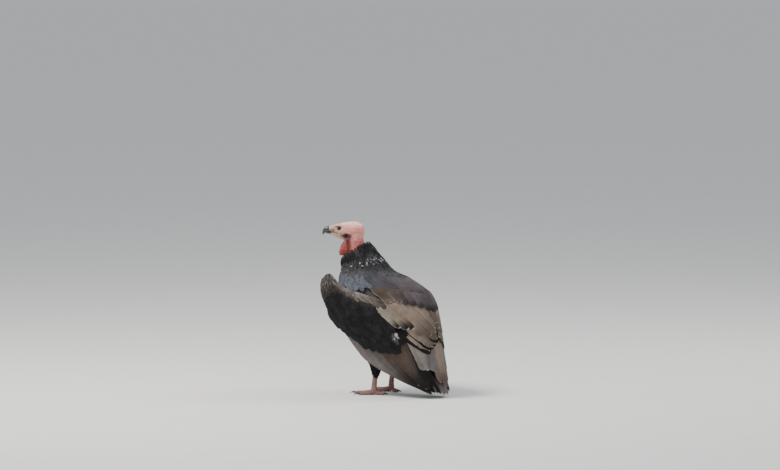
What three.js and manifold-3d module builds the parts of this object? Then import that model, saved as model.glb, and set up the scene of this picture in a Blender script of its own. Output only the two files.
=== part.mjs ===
// A red-headed vulture standing at rest, its head turned to its left and both wings folded.
// Millimetres, +Z up. The bird faces -Y and its left side is +X.
import * as THREE from 'three';
import { mergeVertices } from 'three/addons/utils/BufferGeometryUtils.js';
import Module from 'manifold-3d';

const wasm = await Module();
wasm.setup();

// Where the middle of the box lies from the point between the two feet
const boxMiddle = { x: 0, y: 19.6 };

const gap = 0.3; // between two pieces that touch
const layerGap = 0.9; // between two layers of the wing
const sides = 18; // points around the trunk

// Head, seen along the way it looks. Forward is measured from the middle of the neck.
const headTurn = THREE.MathUtils.degToRad(32);
const neckMiddle = new THREE.Vector3(0, -123, 0);
const eye = { forward: 57, height: 592, out: 13.2, radius: 8.4 };
const ear = { forward: 31, rise: -28, out: 30, radius: 5 };

// Legs and feet
const stance = 58; // from the middle plane to each foot
const footBack = -5;
const footYaw = { left: 8, right: -8 };
const toeHeight = 8.2; // half the height of a toe at its root
const footTop = 21.6;

// Colours
const colours = {
  black: 0x1d1b1d,
  slate: 0x34343a,
  brown: 0x6b5d54,
  pale: 0x8d8078,
  skin: 0xc9705f,
  face: 0xcf9c84,
  horn: 0x3c3a3b,
  leg: 0xb5635c,
  eye: 0x2a1a10,
};

// Goes smoothly through rows of numbers. The first number of a row says where the row stands.
function through(rows) {
  const last = rows.length - 1;
  return (place) => {
    let k = 0;
    while (k < last - 1 && place > rows[k + 1][0]) {
      k += 1;
    }
    const [from, to] = [rows[k], rows[k + 1]];
    const before = rows[Math.max(k - 1, 0)];
    const after = rows[Math.min(k + 2, last)];
    const span = to[0] - from[0];
    const t = (place - from[0]) / span;
    return from.slice(1).map((start, n) => {
      const i = n + 1;
      const slopeIn = ((to[i] - before[i]) / (to[0] - before[0])) * span;
      const slopeOut = ((after[i] - from[i]) / (after[0] - from[0])) * span;
      if (t < 0) {
        return start + slopeIn * t;
      }
      if (t > 1) {
        return to[i] + slopeOut * (t - 1);
      }
      const rise = to[i] - start;
      const a = slopeIn + slopeOut - 2 * rise;
      const b = 3 * rise - 2 * slopeIn - slopeOut;
      return start + slopeIn * t + b * t * t + a * t * t * t;
    });
  };
}

const mix = THREE.MathUtils.lerp;

function ramp(value, from, to) {
  return THREE.MathUtils.smoothstep(value, Math.min(from, to), Math.max(from, to));
}

// A closed skin over rings that all have the same number of points. The ends are closed from their middles,
// or, where the rings are thin, straight across from one face to the other.
function loft(rings, thin = false) {
  const count = rings[0].length;
  const points = [];
  const faces = [];
  for (const ring of rings) {
    points.push(...ring);
  }
  for (let r = 0; r < rings.length - 1; r += 1) {
    for (let i = 0; i < count; i += 1) {
      const j = (i + 1) % count;
      const low = r * count;
      const high = low + count;
      faces.push(low + i, low + j, high + j, low + i, high + j, high + i);
    }
  }
  const ends = [[0, true], [(rings.length - 1) * count, false]];
  for (const [first, turned] of ends) {
    if (thin) {
      for (let i = 0; i < count / 2 - 1; i += 1) {
        const [a, b, c, d] = [first + i, first + i + 1, first + count - 2 - i, first + count - 1 - i];
        faces.push(...(turned ? [a, c, b, a, d, c] : [a, b, c, a, c, d]));
      }
      continue;
    }
    const middle = new THREE.Vector3();
    for (let i = 0; i < count; i += 1) {
      middle.addScaledVector(points[first + i], 1 / count);
    }
    points.push(middle);
    for (let i = 0; i < count; i += 1) {
      const j = (i + 1) % count;
      const pair = turned ? [first + j, first + i] : [first + i, first + j];
      faces.push(points.length - 1, ...pair);
    }
  }
  return facingOut(points, faces);
}

function facingOut(points, faces) {
  let volume = 0;
  for (let f = 0; f < faces.length; f += 3) {
    const [a, b, c] = [points[faces[f]], points[faces[f + 1]], points[faces[f + 2]]];
    volume += a.dot(new THREE.Vector3().crossVectors(b, c));
  }
  if (volume < 0) {
    for (let f = 0; f < faces.length; f += 3) {
      [faces[f + 1], faces[f + 2]] = [faces[f + 2], faces[f + 1]];
    }
  }
  const geometry = new THREE.BufferGeometry();
  geometry.setAttribute('position', new THREE.Float32BufferAttribute(points.flatMap((p) => p.toArray()), 3));
  geometry.setIndex(faces);
  return geometry;
}

function solid(geometry) {
  const bare = geometry.clone();
  bare.deleteAttribute('normal');
  bare.deleteAttribute('uv');
  const merged = mergeVertices(bare, 1e-3);
  const vertProperties = merged.attributes.position.array;
  const triVerts = new Uint32Array(merged.index.array);
  return new wasm.Manifold(new wasm.Mesh({ numProp: 3, vertProperties, triVerts }));
}

function join(pieces) {
  return pieces.reduce((whole, piece) => whole.add(piece));
}

// The largest body that is left after a cut
function largest(body) {
  const bodies = body.decompose();
  return bodies.reduce((best, one) => (one.volume() > best.volume() ? one : best));
}

// The body's own geometry, or its mirror image across the middle plane
function geometryOf(body, mirrored) {
  const { vertProperties, triVerts } = body.getMesh();
  const geometry = new THREE.BufferGeometry();
  geometry.setAttribute('position', new THREE.BufferAttribute(vertProperties, 3));
  geometry.setIndex(new THREE.BufferAttribute(mirrored ? triVerts.toReversed() : triVerts, 1));
  return mirrored ? geometry.scale(-1, 1, 1) : geometry;
}

// A ring through a back point and a front point of the middle plane, as wide as asked
function bodyRing([backY, backZ, frontY, frontZ, half], grow = 0, count = sides, fullness = 2.2) {
  const middle = new THREE.Vector3(0, (backY + frontY) / 2, (backZ + frontZ) / 2);
  const up = new THREE.Vector3(0, backY - frontY, backZ - frontZ).multiplyScalar(0.5);
  const depth = up.length();
  up.normalize();
  return Array.from({ length: count }, (_, i) => {
    const turn = (2 * Math.PI * i) / count;
    const [c, s] = [Math.cos(turn), Math.sin(turn)];
    const round = (Math.abs(c) ** fullness + Math.abs(s) ** fullness) ** (-1 / fullness);
    const point = middle.clone().addScaledVector(up, (depth + grow) * c * round);
    point.x = (half + grow) * s * round;
    return point;
  });
}

function bodyLoft(rows, steps, grow = 0, count = sides) {
  const shape = through(rows);
  const [first, last] = [rows[0][0], rows[rows.length - 1][0]];
  const rings = [];
  for (let k = 0; k <= steps; k += 1) {
    rings.push(bodyRing(shape(mix(first, last, k / steps)), grow, count));
  }
  return solid(loft(rings));
}

// Trunk: station, back point (y, z), breast point (y, z), half width
const trunkRows = [
  [0, -40, 480, -130, 440, 44],
  [1, -12, 470, -155, 412, 67],
  [2, 24, 446, -165, 374, 88],
  [3, 62, 424, -163, 330, 103],
  [4, 101, 402, -144, 288, 110],
  [5, 140, 370, -109, 249, 110],
  [6, 166, 330, -64, 214, 101],
  [7, 181, 290, -12, 188, 86],
  [8, 191, 248, 38, 168, 66],
  [9, 198, 210, 90, 156, 44],
  [10, 203, 180, 140, 146, 26],
];

function trunkBody(grow = 0) {
  return bodyLoft(trunkRows, 10, grow);
}

// Ruff: a collar of feathers that stands up around the bare neck, highest behind it
const ruffRows = [
  [0, 14, 448, -152, 398, 80],
  [1, 6, 462, -157, 418, 80],
  [2, -11, 482, -164, 441, 77],
  [3, -35, 506, -172, 463, 68],
  [4, -49, 527, -170, 480, 58],
  [5, -62, 538, -160, 487, 49],
  [6, -70, 531, -152, 480, 42],
  [7, -77, 514, -147, 466, 37],
];

function ruffBody() {
  return bodyLoft(ruffRows, 7, 0, 16);
}

// Neck: height, middle (x, y), half width, half depth
const neckRows = [
  [472, 0, -96, 36, 37],
  [500, 0, -108, 32, 33],
  [525, 0, -117, 30, 31],
  [550, 1, -122, 30, 31.5],
  [576, 2, -124, 28, 30],
  [594, 3, -125, 20, 22],
];

function neckBody(grow = 0) {
  const shape = through(neckRows);
  const around = 14;
  const rings = [472, 492, 512, 532, 552, 576, 594].map((height) => {
    const [x, y, half, deep] = shape(height);
    return Array.from({ length: around }, (_, i) => {
      const turn = (2 * Math.PI * i) / around;
      return new THREE.Vector3(x + (half + grow) * Math.sin(turn), y - (deep + grow) * Math.cos(turn), height);
    });
  });
  return solid(loft(rings));
}

// A place given along the way the head looks, to its left and above the eye
const lookAhead = new THREE.Vector3(Math.sin(headTurn), -Math.cos(headTurn), 0);
const lookLeft = new THREE.Vector3(Math.cos(headTurn), Math.sin(headTurn), 0);

function headPoint(forward, left, rise) {
  const point = neckMiddle.clone();
  point.addScaledVector(lookAhead, forward);
  point.addScaledVector(lookLeft, left);
  point.z = eye.height + rise;
  return point;
}

// A ring across the head: how far forward, its middle above the eye, half width, half height and lean
function headRing([forward, middle, half, tall, lean = 0], grow = 0, count = 12) {
  return Array.from({ length: count }, (_, i) => {
    const turn = (2 * Math.PI * i) / count;
    const up = (tall + grow) * Math.cos(turn);
    return headPoint(forward + up * Math.sin(lean), (half + grow) * Math.sin(turn), middle + up * Math.cos(lean));
  });
}

function headLoft(rows, grow = 0, count = 12) {
  return solid(loft(rows.map((row) => headRing(row, grow, count))));
}

// Head: forward, top and underside from the eye, half width
const headRows = [
  [-34, -4, -16, 5],
  [-30, 8, -30, 16],
  [-20, 16, -40, 25],
  [-7, 21.5, -45, 29.5],
  [8, 23, -47, 31],
  [24, 22, -46, 29.5],
  [39, 19.5, -44, 26],
  [54, 16, -39, 22],
  [68, 13, -33, 18],
  [76, 11, -30, 16],
];
const jawRows = [
  [48, -27, 14, 9],
  [66, -24.5, 13.4, 8],
  [80, -20.8, 12, 6],
  [88, -19.4, 10.8, 4.8],
];

function headBody(grow = 0) {
  const shape = through(headRows);
  const places = [-34, -31, -25, -16, -5, 8, 20, 32, 44, 55, 65, 76];
  const rows = places.map((forward) => {
    const [top, under, half] = shape(forward);
    return [forward, (top + under) / 2, half, (top - under) / 2];
  });
  return headLoft(rows, grow, 14).add(headLoft(jawRows, grow, 10));
}

const cereRows = [
  [70, -2, 15.6, 13.6],
  [78, -2, 15, 12.8],
  [86, -3, 14, 12],
  [92.5, -3.4, 12.6, 11],
];
const upperBillRows = [
  [91, -3.6, 12, 10.8],
  [99, -4.4, 10.6, 10.6, 0.1],
  [107, -8.2, 8.6, 8.8, 0.45],
  [112.5, -14.5, 5.6, 6, 0.95],
  [115, -22.5, 2.4, 2.4, 1.35],
];
const lowerBillRows = [
  [86, -18.8, 10, 4.8],
  [95, -18, 8.8, 4.6],
  [103, -16.6, 6.6, 4],
  [108, -15.6, 4.4, 2.6],
];

function ball(center, radius, around = 10, down = 7) {
  const geometry = new THREE.SphereGeometry(radius, around, down);
  geometry.translate(center.x, center.y, center.z);
  return solid(geometry);
}

// Lappet: a fold of bare skin that hangs at each side of the throat.
// Forward, height from the eye, out from the middle, half length, half thickness
const lappetRows = [
  [26, -36, 24, 6, 3],
  [28, -48, 27, 13, 5],
  [31, -62, 28, 19, 5.5],
  [36, -78, 26, 22, 5],
  [42, -91, 22, 17, 4],
  [46, -99, 19, 8, 2.2],
];

function lappetBody(side, grow = 0) {
  const around = 10;
  const rings = lappetRows.map(([forward, rise, out, long, thick]) => (
    Array.from({ length: around }, (_, i) => {
      const turn = (2 * Math.PI * i) / around;
      const aside = side * (out + (thick + grow) * Math.sin(turn));
      return headPoint(forward + (long + grow) * Math.cos(turn), aside, rise);
    })
  ));
  return solid(loft(rings));
}

// The folded wing's outer face: height, then (x, y) from the middle of the back to the front edge
const cloakRows = [
  [-10, 0, 286, 25, 280, 38, 270, 46, 262, 52, 256, 56, 252, 58, 250],
  [10, 0, 280, 28, 273, 44, 262, 52, 254, 57, 248, 60, 245, 61, 243],
  [50, 0, 267, 34, 261, 58, 239, 74, 217, 84, 194, 88, 176, 90, 162],
  [90, 0, 256, 38, 250, 65, 226, 86, 190, 98, 152, 103, 115, 105, 80],
  [130, 0, 246, 41, 239, 71, 213, 95, 172, 108, 122, 113, 62, 113, -3],
  [170, 0, 237, 44, 229, 77, 202, 103, 157, 116, 100, 120, 35, 118, -41],
  [210, 0, 229, 46, 219, 81, 191, 108, 142, 123, 78, 127, 5, 122, -77],
  [250, 0, 221, 46, 210, 82, 180, 112, 127, 128, 55, 132, -25, 126, -110],
  [290, 0, 213, 46, 202, 82, 169, 112, 112, 129, 35, 135, -50, 128, -149],
  [330, 0, 200, 46, 187, 82, 152, 110, 96, 127, 15, 135, -75, 130, -168],
  [370, 0, 174, 44, 159, 82, 120, 108, 64, 124, -12, 133, -95, 131, -180],
  [410, 0, 108, 40, 90, 74, 54, 102, 8, 119, -52, 129, -112, 130, -180],
  [450, 0, 14, 34, 6, 62, -14, 88, -48, 108, -88, 120, -122, 127, -158],
  [490, 0, -18, 28, -26, 52, -44, 75, -72, 95, -100, 110, -124, 122, -144],
];
const cloakShape = through(cloakRows);

function cloakPoint(across, height) {
  const row = cloakShape(height);
  const columns = [[-1, -row[2], row[3]]];
  for (let c = 0; c < 7; c += 1) {
    columns.push([c, row[2 * c], row[2 * c + 1]]);
  }
  const [x, y] = through(columns)(across * 6);
  return new THREE.Vector3(x, y, height);
}

// The tail's upper face: across is from -1 to 1, height falls to the tip
const tail = { rootY: 190, rootZ: 206, tipY: 262, tipZ: 15, rootHalf: 20, tipHalf: 48 };

function tailPoint(across, height) {
  const along = (tail.rootZ - height) / (tail.rootZ - tail.tipZ);
  const x = across * mix(tail.rootHalf, tail.tipHalf, along);
  return new THREE.Vector3(x, mix(tail.rootY, tail.tipY, along) - 7 * across * across, height);
}

// Where a sheet lies and how it runs at one place
function frameAt(sheet, a, b) {
  const step = 0.004;
  const point = sheet(a, b);
  const alongA = sheet(a + step, b).sub(point).divideScalar(step);
  const alongB = sheet(a, b + step * 100).sub(point).divideScalar(step * 100);
  const normal = new THREE.Vector3().crossVectors(alongB, alongA).normalize();
  return { point, alongA, alongB, normal };
}

// Each layer of flight feathers is one stepped sheet: every feather's front edge lies on the one before it.
// Edges are (share across, height) at the root and at the tip, for the first and the last feather.
function featherSheet(surface, layer, grow = 0) {
  const { count, root, tip, lift, notch, rows, step = 2, thick = 1.8, bend = 0, broad = false } = layer;
  const across = broad ? [0.03, 0.36, 0.68, 0.97] : [0.03, 0.5, 0.97];
  const drop = broad ? [1, 0.12, 0.12, 1] : [1, 0, 1];
  const last = across.length - 1;
  const rings = [];
  for (let r = 0; r <= rows; r += 1) {
    const along = r / rows;
    const over = [];
    const under = [];
    for (let f = 0; f < count; f += 1) {
      for (let c = 0; c < across.length; c += 1) {
        const outwards = f === count - 1 ? -1 : 1;
        const edge = (c === 0 ? 1 : 0) + (c === last ? outwards : 0);
        const endwards = (r === rows ? 1 : 0) - (r === 0 ? 1 : 0);
        const u = (f + across[c]) / count;
        const length = 1 - notch * drop[c];
        const t = along * length;
        const start = root(u);
        const end = tip(u);
        const sway = bend * Math.sin(Math.PI * along);
        const spot = frameAt(surface, mix(start[0], end[0], t) + sway, mix(start[1], end[1], t));
        const base = mix(lift[0], lift[1], u);
        const rise = base + step * (1 - across[c]);
        const out = spot.alongA.clone().normalize().multiplyScalar(edge * grow);
        out.addScaledVector(spot.alongB.clone().normalize(), -endwards * grow);
        over.push(spot.point.clone().add(out).addScaledVector(spot.normal, rise + thick + grow));
        under.push(spot.point.clone().add(out).addScaledVector(spot.normal, base - grow));
      }
    }
    rings.push([...over, ...under.reverse()]);
  }
  return solid(loft(rings, true));
}

function line(from, to) {
  return (t) => [mix(from[0], to[0], t), mix(from[1], to[1], t)];
}

// Folded wing, from the front edge backwards
const primaries = {
  count: 6,
  root: line([0.97, 274], [0.7, 212]),
  tip: line([0.97, 12], [0.16, 22]),
  lift: [-14, -11],
  notch: 0.06,
  rows: 5,
  bend: 0.03,
};
const secondaries = {
  count: 5,
  root: line([0.74, 236], [0.14, 246]),
  tip: line([0.64, 92], [0.03, 44]),
  lift: [-7.6, -6],
  notch: 0.08,
  rows: 4,
};
const tertials = {
  count: 4,
  root: line([0.6, 355], [0.06, 345]),
  tip: line([0.53, 248], [0.03, 184]),
  lift: [-2, -1],
  notch: 0.2,
  broad: true,
  step: 2.4,
  rows: 4,
};
const scapulars = {
  count: 4,
  root: line([0.7, 438], [0.24, 446]),
  tip: line([0.64, 356], [0.05, 306]),
  lift: [-3, 3],
  notch: 0.2,
  broad: true,
  step: 2.4,
  rows: 4,
};

// Front mass of the folded wing: wrist, forearm and hand under the black coverts
const leadingEdge = through([
  [0, 0.99, 434],
  [0.06, 1.02, 412],
  [0.2, 1.02, 350],
  [0.35, 1.0, 285],
  [0.5, 0.97, 242],
  [0.65, 0.92, 215],
  [0.8, 0.82, 188],
  [0.92, 0.7, 168],
  [1, 0.62, 160],
]);
const upperEdge = through([
  [0, 0.94, 437],
  [0.06, 0.88, 424],
  [0.2, 0.8, 392],
  [0.35, 0.68, 362],
  [0.5, 0.61, 340],
  [0.65, 0.55, 300],
  [0.8, 0.52, 250],
  [0.92, 0.53, 200],
  [1, 0.57, 165],
]);

function wristThickness(along) {
  return mix(34, 3.4, ramp(along, 0.12, 0.62));
}

function covertsBody(grow = 0) {
  const places = [0, 0.04, 0.1, 0.2, 0.32, 0.44, 0.56, 0.68, 0.8, 0.91, 1];
  const acrossPlaces = [0, 0.08, 0.2, 0.4, 0.65, 1];
  const rings = places.map((along) => {
    const front = leadingEdge(along);
    const rear = upperEdge(along);
    const taper = mix(0.35, 1, ramp(along, -0.02, 0.1));
    const outer = [];
    const inner = [];
    for (const across of acrossPlaces) {
      const spot = frameAt(cloakPoint, mix(front[0], rear[0], across), mix(front[1], rear[1], across));
      const full = wristThickness(along) * taper;
      const round = Math.sqrt(Math.min(across / 0.2, 1));
      const deep = mix(mix(full * 0.45, full, round), 3.2, ramp(across, 0.2, 1));
      const top = mix(-full * 0.3, 1.4, round);
      const edge = across === 0 ? 1 : across === 1 ? -1 : 0;
      spot.point.addScaledVector(spot.alongA.clone().normalize(), edge * grow);
      outer.push(spot.point.clone().addScaledVector(spot.normal, top + grow));
      inner.push(spot.point.clone().addScaledVector(spot.normal, -deep - grow));
    }
    return [...outer, ...inner.reverse()];
  });
  return solid(loft(rings));
}

// A block that fills one side of the middle plane, to keep the two wings apart
function halfSpace() {
  const block = new THREE.BoxGeometry(400, 900, 900);
  block.translate(200 + gap / 2, 0, 300);
  return solid(block);
}

// Legs
function legRing(x, y, z, half, deep, count = 9) {
  return Array.from({ length: count }, (_, i) => {
    const turn = (2 * Math.PI * i) / count;
    return new THREE.Vector3(x + half * Math.sin(turn), y + deep * Math.cos(turn), z);
  });
}

function thighBody(grow = 0) {
  const rows = [
    [62, 0, 230, 36, 50],
    [63, 0, 196, 37, 50],
    [62, 1, 160, 33, 43],
    [60, 3, 128, 27, 33],
    [59, 3, 102, 20, 24],
    [stance, 2, 84, 15, 18],
    [stance, 1, 74, 11.5, 13],
  ];
  return solid(loft(rows.map(([x, y, z, half, deep]) => legRing(x, y, z, half + grow, deep + grow, 12))));
}

function shankBody() {
  const rows = [
    [stance, 0, 118, 8, 8],
    [stance, 0, 92, 9.5, 10],
    [stance, -2, 60, 9, 9.5],
    [stance, footBack, 30, 9.6, 10],
    [stance, footBack, footTop, 10.5, 11],
  ];
  return solid(loft(rows.map(([x, y, z, half, deep]) => legRing(x, y, z, half, deep))));
}

// Toes: turn from straight ahead towards the body's middle, length and thickness at root and tip
const toes = [
  { name: 'middle', turn: 0, length: 76, root: 9, tip: 6 },
  { name: 'inner', turn: 40, length: 50, root: 8.4, tip: 6 },
  { name: 'outer', turn: -36, length: 56, root: 8, tip: 5.6 },
  { name: 'hind', turn: 172, length: 36, root: 8, tip: 5.6 },
];
const clawLength = 21;

// A place on a foot: ahead along a toe that is turned by some degrees, to its side and above the floor
function footPoint(turn, yaw, ahead, aside, height) {
  const angle = THREE.MathUtils.degToRad(-turn + yaw);
  return new THREE.Vector3(
    stance + ahead * Math.sin(angle) + aside * Math.cos(angle),
    footBack - ahead * Math.cos(angle) + aside * Math.sin(angle),
    height,
  );
}

// Flat on the floor wherever it would sink into it
function toeBody(toe, yaw) {
  const shape = through([
    [0, 13, toe.root, toeHeight],
    [0.25, 9.5, toe.root * 0.94, toeHeight * 0.98],
    [0.5, 6.6, toe.root * 0.86, toeHeight * 0.86],
    [0.75, 5.8, toe.tip * 1.1, 6.6],
    [1, 5, toe.tip * 0.8, 5.2],
  ]);
  const rings = [0, 0.3, 0.6, 0.93, 1].map((t) => {
    const [height, half, tall] = shape(t);
    const blunt = t === 1 ? 0.6 : 1;
    return Array.from({ length: 8 }, (_, i) => {
      const turn = (2 * Math.PI * (i + 0.5)) / 8;
      const above = Math.max(height + tall * blunt * Math.cos(turn), 0);
      return footPoint(toe.turn, yaw, t * toe.length, half * blunt * Math.sin(turn), above);
    });
  });
  return solid(loft(rings));
}

function footBody(yaw) {
  return join(toes.map((toe) => toeBody(toe, yaw)));
}

function clawBody(toe, yaw) {
  const around = 6;
  const rows = [
    [gap, 6, 3.8, 4],
    [clawLength * 0.5, 6.6, 3.2, 3.6],
    [clawLength, 1.9, 0.9, 1],
  ];
  const rings = rows.map(([ahead, height, half, tall]) => (
    Array.from({ length: around }, (_, i) => {
      const turn = (2 * Math.PI * i) / around;
      return footPoint(toe.turn, yaw, toe.length + ahead, half * Math.sin(turn), height + tall * Math.cos(turn));
    })
  ));
  return solid(loft(rings));
}

// Tail: a sheet whose feathers step down from the middle pair to the outermost on each side
const tailFeathers = {
  count: 6,
  root: line([1, 200], [-1, 200]),
  tip: line([1, 16], [-1, 16]),
  lift: [-6, -6],
  notch: 0.06,
  rows: 2,
};

const vulture = new THREE.Group();

function place(name, body, colour, roughness = 0.85, mirrored = false) {
  const material = new THREE.MeshStandardMaterial({ color: colour, roughness, metalness: 0 });
  const mesh = new THREE.Mesh(geometryOf(largest(body), mirrored), material);
  mesh.name = name;
  mesh.position.set(-boxMiddle.x, -boxMiddle.y, 0);
  vulture.add(mesh);
}

const trunk = trunkBody();
const trunkRoom = trunkBody(gap);
const headRoom = headBody(gap);
const neckRoom = neckBody(gap);
const cereRoom = headLoft(cereRows, gap);
const upperBillRoom = headLoft(upperBillRows, gap);

// Head, neck and ruff
const eyes = [1, -1].map((side) => headPoint(eye.forward, side * eye.out, 0));
const ears = [1, -1].map((side) => headPoint(ear.forward, side * ear.out, ear.rise));
let head = headBody();
for (const center of eyes) {
  head = head.subtract(ball(center, eye.radius + gap));
}
for (const center of ears) {
  head = head.subtract(ball(center, ear.radius, 6, 4));
}
const ruff = ruffBody().subtract(trunkBody(0.6)).subtract(neckRoom);
place('trunk', trunk, colours.slate);
place('neck', neckBody().subtract(headRoom).subtract(trunkRoom), colours.skin, 0.6);
place('neck_ruff', ruff.subtract(lappetBody(1, 0.5)).subtract(lappetBody(-1, 0.5)), colours.black);
place('head', head, colours.face, 0.6);
place('cere', headLoft(cereRows).subtract(headRoom), colours.face, 0.5);
place('bill_upper', headLoft(upperBillRows).subtract(cereRoom).subtract(headRoom), colours.horn, 0.4);
const lowerBill = headLoft(lowerBillRows).subtract(headRoom).subtract(cereRoom).subtract(upperBillRoom);
place('bill_lower', lowerBill, colours.horn, 0.4);
place('eye_left', ball(eyes[0], eye.radius), colours.eye, 0.1);
place('eye_right', ball(eyes[1], eye.radius), colours.eye, 0.1);
place('lappet_left', lappetBody(1).subtract(neckRoom).subtract(headRoom), colours.skin, 0.6);
place('lappet_right', lappetBody(-1).subtract(neckRoom).subtract(headRoom), colours.skin, 0.6);

// Legs and feet
for (const side of ['left', 'right']) {
  const mirrored = side === 'right';
  const yaw = mirrored ? -footYaw.right : footYaw.left;
  place(`thigh_${side}`, thighBody().subtract(trunkRoom), colours.black, 0.85, mirrored);
  place(`shank_${side}`, shankBody().subtract(thighBody(gap)), colours.leg, 0.6, mirrored);
  place(`foot_${side}`, footBody(yaw), colours.leg, 0.6, mirrored);
  for (const toe of toes) {
    place(`claw_${side}_${toe.name}`, clawBody(toe, yaw), colours.horn, 0.4, mirrored);
  }
}

// Tail and wings
const tailRoom = featherSheet(tailPoint, tailFeathers, 3 * layerGap);
place('tail', featherSheet(tailPoint, tailFeathers).subtract(trunkRoom), colours.slate);
const half = halfSpace();
const layers = { primaries, secondaries, tertials, scapulars };
const made = {};
const rooms = [trunkRoom, tailRoom];
for (const name of ['primaries', 'secondaries', 'coverts', 'tertials', 'scapulars']) {
  const isCoverts = name === 'coverts';
  let body = isCoverts ? covertsBody() : featherSheet(cloakPoint, layers[name]).intersect(half);
  for (const room of rooms) {
    body = body.subtract(room);
  }
  made[name] = body;
  rooms.push(isCoverts ? covertsBody(layerGap) : featherSheet(cloakPoint, layers[name], layerGap));
}
const wingColours = {
  coverts: colours.black,
  primaries: colours.brown,
  secondaries: colours.pale,
  tertials: colours.brown,
  scapulars: colours.slate,
};
for (const side of ['left', 'right']) {
  for (const [name, colour] of Object.entries(wingColours)) {
    place(`wing_${side}_${name}`, made[name], colour, 0.85, side === 'right');
  }
}

export default vulture;
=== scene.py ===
# A red-headed vulture at rest, its wings folded and its head turned to its left.
# Tables are in millimetres from the point between the feet, the bird facing -Y. Meshes are in metres.
import math
import bpy
import bmesh
import numpy as np
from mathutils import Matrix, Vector, noise


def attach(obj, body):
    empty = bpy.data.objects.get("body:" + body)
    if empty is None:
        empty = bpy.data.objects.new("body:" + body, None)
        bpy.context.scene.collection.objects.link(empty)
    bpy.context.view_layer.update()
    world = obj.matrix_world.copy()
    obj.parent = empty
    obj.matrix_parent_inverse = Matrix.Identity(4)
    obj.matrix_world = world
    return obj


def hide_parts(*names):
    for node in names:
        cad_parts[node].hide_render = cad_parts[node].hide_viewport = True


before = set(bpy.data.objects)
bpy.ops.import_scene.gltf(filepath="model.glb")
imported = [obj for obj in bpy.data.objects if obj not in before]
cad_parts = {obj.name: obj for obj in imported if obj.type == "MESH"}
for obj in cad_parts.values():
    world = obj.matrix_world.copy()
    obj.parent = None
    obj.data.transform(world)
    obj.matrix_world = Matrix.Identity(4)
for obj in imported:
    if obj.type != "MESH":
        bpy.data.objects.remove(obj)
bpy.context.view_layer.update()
mm = 0.001
boxMiddle = np.array([0.0, 19.6, 0.0])  # of the whole part, from the point between the feet
sideSigns = {"left": 1, "right": -1}


# Curves and surfaces

def circle(count, start=0):
    return (np.arange(count) + start) * 2 * math.pi / count


def ease(value, low, high):
    share = np.clip((np.asarray(value, float) - low) / (high - low), 0, 1)
    return share * share * (3 - 2 * share)


def mix(start, end, share):
    return start + (end - start) * share


def smoothThrough(stands, values, place):
    # values holds the rows for every place, or one set of rows that all places share
    place = np.asarray(place, float).ravel()
    values = np.broadcast_to(values, (len(place),) + values.shape[-2:])
    pick = np.arange(len(place))
    k = np.clip(np.searchsorted(stands, place) - 1, 0, len(stands) - 2)
    before = np.maximum(k - 1, 0)
    after = np.minimum(k + 2, len(stands) - 1)
    start, end = values[pick, k], values[pick, k + 1]
    span = (stands[k + 1] - stands[k])[:, None]
    slopeIn = (end - values[pick, before]) / (stands[k + 1] - stands[before])[:, None] * span
    slopeOut = (values[pick, after] - start) / (stands[after] - stands[k])[:, None] * span
    t = (place - stands[k])[:, None] / span
    inside = np.clip(t, 0, 1)
    rise = end - start
    curve = start + slopeIn * inside + (3 * rise - 2 * slopeIn - slopeOut) * inside**2
    curve = curve + (slopeIn + slopeOut - 2 * rise) * inside**3
    return curve + np.where(t < 0, slopeIn * t, 0) + np.where(t > 1, slopeOut * (t - 1), 0)


def through(rows):
    # The first number of a row says where the row stands
    table = np.array(rows, float)
    return lambda place: smoothThrough(table[:, 0], table[:, 1:], place)


def unit(vectors):
    return vectors / np.maximum(np.linalg.norm(vectors, axis=-1, keepdims=True), 1e-9)


def dot(a, b):
    return (a * b).sum(-1, keepdims=True)


def surfaceFrame(surface, a, b):
    # The place, the two ways along the surface per unit of a and b, and the way out
    stepA, stepB = 0.004, 0.4
    place = surface(a, b)
    alongA = (surface(a + stepA, b) - place) / stepA
    alongB = (surface(a, b + stepB) - place) / stepB
    return place, alongA, alongB, unit(np.cross(alongB, alongA))


# Meshes

def toMetres(points):
    return (np.asarray(points, float).reshape(-1, 3) - boxMiddle) * mm


def faceOutwards(mesh):
    work = bmesh.new()
    work.from_mesh(mesh)
    if work.calc_volume(signed=True) < 0:
        bmesh.ops.reverse_faces(work, faces=work.faces)
    work.to_mesh(mesh)
    work.free()


def meshFrom(name, points, faces, closed=True):
    mesh = bpy.data.meshes.new(name)
    mesh.from_pydata(points.reshape(-1, 3).tolist(), [], faces)
    mesh.shade_smooth()
    if closed:
        faceOutwards(mesh)
    return mesh


def addObject(name, data):
    piece = bpy.data.objects.new(name, data)
    bpy.context.scene.collection.objects.link(piece)
    return piece


def tubeFaces(rings, around):
    # Quads round a tube, and the two faces that close its ends
    low = np.arange(rings - 1)[:, None] * around + np.arange(around)
    right = np.arange(rings - 1)[:, None] * around + (np.arange(around) + 1) % around
    quads = np.stack([low, right, right + around, low + around], -1).reshape(-1, 4)
    ends = [list(range(around - 1, -1, -1)), list(range((rings - 1) * around, rings * around))]
    return quads.tolist(), ends


def sheetFaces(rows, columns, closedRound=False, closedAlong=False):
    faces = []
    for r in range(rows if closedAlong else rows - 1):
        for c in range(columns if closedRound else columns - 1):
            low, high = r * columns, (r + 1) % rows * columns
            d = (c + 1) % columns
            faces.append([low + c, low + d, high + d, high + c])
    return faces


def tubeObject(name, rings):
    quads, ends = tubeFaces(*rings.shape[:2])
    return addObject(name, meshFrom(name, toMetres(rings), quads + ends))


def ringObject(name, rings):
    faces = sheetFaces(*rings.shape[:2], closedRound=True, closedAlong=True)
    return addObject(name, meshFrom(name, toMetres(rings), faces))


def evaluated(piece):
    # A plain mesh of what the modifiers make
    bpy.context.view_layer.update()
    graph = bpy.context.evaluated_depsgraph_get()
    return bpy.data.meshes.new_from_object(piece.evaluated_get(graph), depsgraph=graph)


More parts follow.
